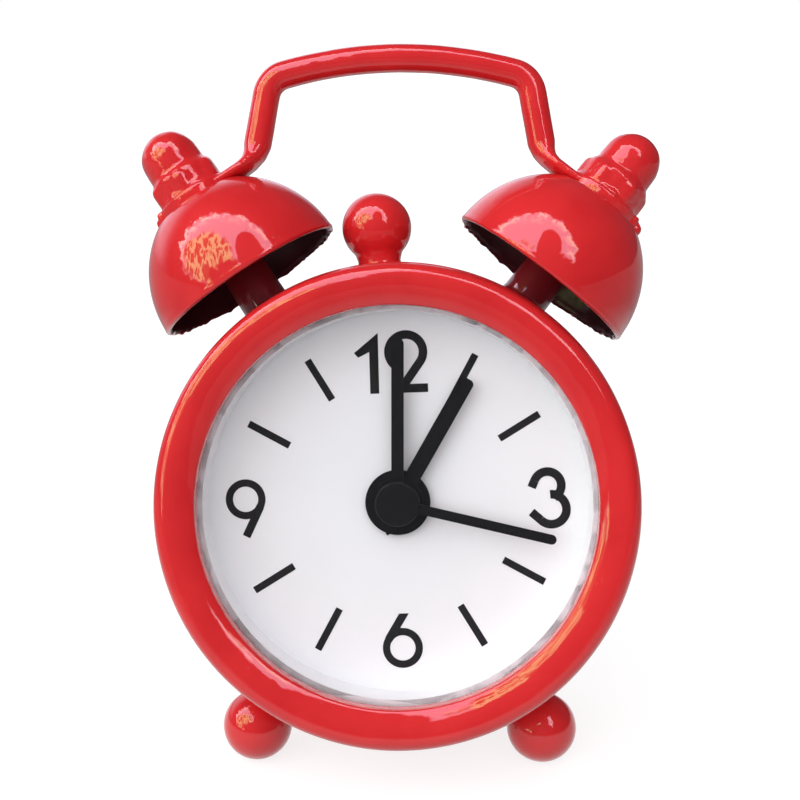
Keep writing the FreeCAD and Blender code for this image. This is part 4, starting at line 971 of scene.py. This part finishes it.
class Studio(Wiring):
    """The world under construction: masks over the directions that the clock's gloss looks into."""

    def __init__(self):
        self.world = bpy.data.worlds.new("studio")
        super().__init__(self.world)

    def vector(self, operation, *values, out=0):
        node = self.add("ShaderNodeVectorMath", operation=operation)
        for socket, value in zip(node.inputs, values):
            self.plug(socket, value)
        return node.outputs[out]

    def dot(self, first, second):
        return self.vector("DOT_PRODUCT", first, second, out=1)

    def scaled(self, light, share):
        node = self.add("ShaderNodeVectorMath", operation="SCALE")
        self.plug(node.inputs[0], light)
        self.plug(node.inputs["Scale"], share)
        return node.outputs[0]

    def noise(self, place, scale, detail=2.0):
        node = self.add("ShaderNodeTexNoise")
        node.inputs["Scale"].default_value = scale
        node.inputs["Detail"].default_value = detail
        self.links.new(place, node.inputs["Vector"])
        return node.outputs["Fac"]

    def waver(self, place, scale, detail, reach):
        """Noise that swings to both sides of nothing, by half its reach at most."""
        swing = self.math("SUBTRACT", self.noise(place, scale, detail), 0.5)
        return self.math("MULTIPLY", swing, reach)

    def inside(self, across, up, middle, reach, soft):
        """1 inside an oval of the window's plane, 0 outside it, with a soft edge."""
        along = self.math("DIVIDE", self.math("SUBTRACT", across, middle[0]), reach[0])
        rise = self.math("DIVIDE", self.math("SUBTRACT", up, middle[1]), reach[1])
        far = self.math("ADD", self.math("MULTIPLY", along, along),
                        self.math("MULTIPLY", rise, rise))
        return self.math("DIVIDE", self.math("SUBTRACT", 1.0, far), soft, clamp=True)

    def over(self, value, limit, soft):
        """0 up to a limit, then a soft step to 1."""
        return self.math("DIVIDE", self.math("SUBTRACT", value, limit), soft, clamp=True)

    def other(self, share):
        return self.math("SUBTRACT", 1.0, share)


# Ovals of the window's plane, each by its middle and its reach
window_oval = ((-0.17, 0.21), (0.45, 0.37))
panes_oval = ((-0.34, 0.15), (0.26, 0.23))
notch_oval = ((0.03, 0.24), (0.12, 0.175))
ledge_oval = ((-0.02, -0.04), (0.36, 0.24))
window_sill = 0.05
# How ragged the window's edge is: scale, detail and reach
rag_across = (9.0, 4.0, 0.20)
rag_up = (14.0, 3.0, 0.12)
strand_stretch = (21.0, 12.0, 6.0)
window_light = (5.8, 4.9, 6.2, 1)
window_fleck_light = (13.0, 12.0, 10.5, 1)
pane_shade = (0.7, 0.9, 0.35, 1)
pane_light = (6.0, 8.6, 4.0, 1)
room_dim = (0.06, 0.055, 0.07, 1)
room_white = (1.25, 1.12, 1.3, 1)
backdrop = (1, 1, 1, 1)
# The pale room behind the clock reaches round further on the left
leftward = -0.6
# Light that falls on the clock: from where, how strong, how narrow
soft_lights = (
    ((-0.50, -0.80, 0.30), (1.80, 1.77, 1.82), 2.0),
    ((-0.85, -0.50, 0.15), (0.30, 0.30, 0.30), 2.0),
    ((-0.40, -0.50, 0.75), (0.62, 0.61, 0.62), 2.0),
    ((0.60, -0.70, 0.30), (0.32, 0.32, 0.34), 2.0),
    ((0.20, 0.95, 0.20), (0.90, 0.90, 0.92), 2.0),
)
least_light = (0.03, 0.03, 0.035)


def window_view(studio, half_way, across, up):
    """How much of the large window shows in the gloss, and what is seen in it: a bright view that
    breaks up in flecks at its ragged edge, and warm panes in strips. A dark ledge and a dark notch
    are cut out of it."""
    across_ragged = studio.math("ADD", across, studio.waver(half_way, *rag_across))
    up_ragged = studio.math("ADD", up, studio.waver(half_way, *rag_up))
    whole = studio.inside(across_ragged, up_ragged, *window_oval, soft=0.10)
    heart = studio.inside(across_ragged, up_ragged, *window_oval, soft=0.45)
    flecks = studio.over(studio.noise(half_way, 18.0, 3.0), limit=0.47, soft=0.05)
    fringe = studio.math("MULTIPLY", studio.other(heart), flecks)
    above = studio.over(up_ragged, window_sill, soft=0.05)
    notch = studio.inside(across, up, *notch_oval, soft=0.2)
    ledge = studio.inside(across_ragged, up_ragged, *ledge_oval, soft=0.2)
    dark = studio.math("MAXIMUM", notch, ledge)
    panes = studio.inside(across_ragged, up_ragged, *panes_oval, soft=0.3)
    opening = studio.math("MAXIMUM", studio.math("MULTIPLY", whole, above), panes)
    window = studio.math("MULTIPLY", opening, studio.other(dark))
    stretched = studio.vector("MULTIPLY", half_way, strand_stretch)
    strand = studio.math("ABSOLUTE", studio.math("SUBTRACT", studio.noise(stretched, 1.0), 0.5))
    strips = studio.other(studio.over(strand, limit=0.03, soft=0.04))
    bright = studio.mix(fringe, window_light, window_fleck_light)
    warm = studio.mix(strips, pane_shade, pane_light)
    return window, studio.mix(panes, bright, warm)


def room_view(studio, way, across):
    """How much of the pale room behind the clock shows, above the floor and in grazing gloss."""
    behind = studio.dot(way, camera_ahead)
    grazing = studio.over(studio.math("ADD", behind, studio.math("MULTIPLY", across, leftward)),
                          limit=0.55, soft=0.35)
    horizon = studio.over(studio.dot(way, (0, 0, 1)), limit=-0.05, soft=0.2)
    return studio.math("MULTIPLY", grazing, horizon)


def falling_light(studio, way):
    """The light that falls on matt surfaces, from a few broad sides."""
    light_sum = least_light
    for light_way, light, narrowness in soft_lights:
        toward = studio.math("MAXIMUM", studio.dot(way, Vector(light_way).normalized()), 0.0)
        lobe = studio.scaled(light, studio.math("POWER", toward, narrowness))
        light_sum = studio.vector("ADD", light_sum, lobe)
    return light_sum


def sky():
    """A dim room in front of the clock, a pale one behind it, and a large window at the upper
    left, which show in the enamel's gloss; soft light for the rest; white where it is seen."""
    studio = Studio()
    bpy.context.scene.world = studio.world
    way = studio.add("ShaderNodeTexCoord").outputs["Generated"]
    toward_camera = tuple(-part for part in camera_ahead)
    half_way = studio.vector("NORMALIZE", studio.vector("ADD", way, toward_camera))
    across = studio.dot(half_way, camera_right)
    up = studio.dot(half_way, camera_up)
    window, view = window_view(studio, half_way, across, up)
    pale = room_view(studio, way, across)
    gloss = studio.mix(window, studio.mix(pale, room_dim, room_white), view)
    matt = falling_light(studio, way)
    path = studio.add("ShaderNodeLightPath").outputs
    lit = studio.mix(path["Is Glossy Ray"], matt, gloss)
    seen = studio.math("MAXIMUM", path["Is Camera Ray"], path["Is Transmission Ray"])
    shown = studio.mix(seen, lit, backdrop)
    studio.links.new(shown, studio.nodes["Background"].inputs["Color"])


class CLOCK_OT_stage(bpy.types.Operator):
    """Set up the floor, light and camera"""
    bl_idname = "clock.stage"
    bl_label = "Floor, light and camera"

    def execute(self, context):
        begin()
        bpy.ops.mesh.primitive_plane_add(size=floor_size, location=(0, 0, 0))
        ground = active()
        ground.name = "floor"
        ground.data.materials.append(floor_finish())
        camera()
        sky()
        context.scene.view_settings.view_transform = "Standard"
        return {"FINISHED"}


class CLOCK_PT_panel(bpy.types.Panel):
    bl_label = "Alarm clock"
    bl_idname = "CLOCK_PT_panel"
    bl_space_type = "VIEW_3D"
    bl_region_type = "UI"
    bl_category = "Alarm clock"

    def draw(self, context):
        looks = looks_of(context)
        for name in ClockLooks.__annotations__:
            self.layout.prop(looks, name)
        for operator in operators:
            self.layout.operator(operator.bl_idname)


operators = (CLOCK_OT_finishes, CLOCK_OT_case, CLOCK_OT_bells, CLOCK_OT_nuts, CLOCK_OT_balls,
             CLOCK_OT_handle, CLOCK_OT_stage)
classes = (ClockLooks, *operators, CLOCK_PT_panel)


def register():
    for part in classes:
        bpy.utils.register_class(part)
    bpy.types.Scene.clock_looks = PointerProperty(type=ClockLooks)


def unregister():
    del bpy.types.Scene.clock_looks
    for part in reversed(classes):
        bpy.utils.unregister_class(part)


def main():
    register()
    bpy.ops.clock.finishes()
    bpy.ops.clock.case()
    bpy.ops.clock.bells()
    bpy.ops.clock.nuts()
    bpy.ops.clock.balls()
    bpy.ops.clock.handle()
    bpy.ops.clock.stage()


if __name__ == "__main__":
    main()
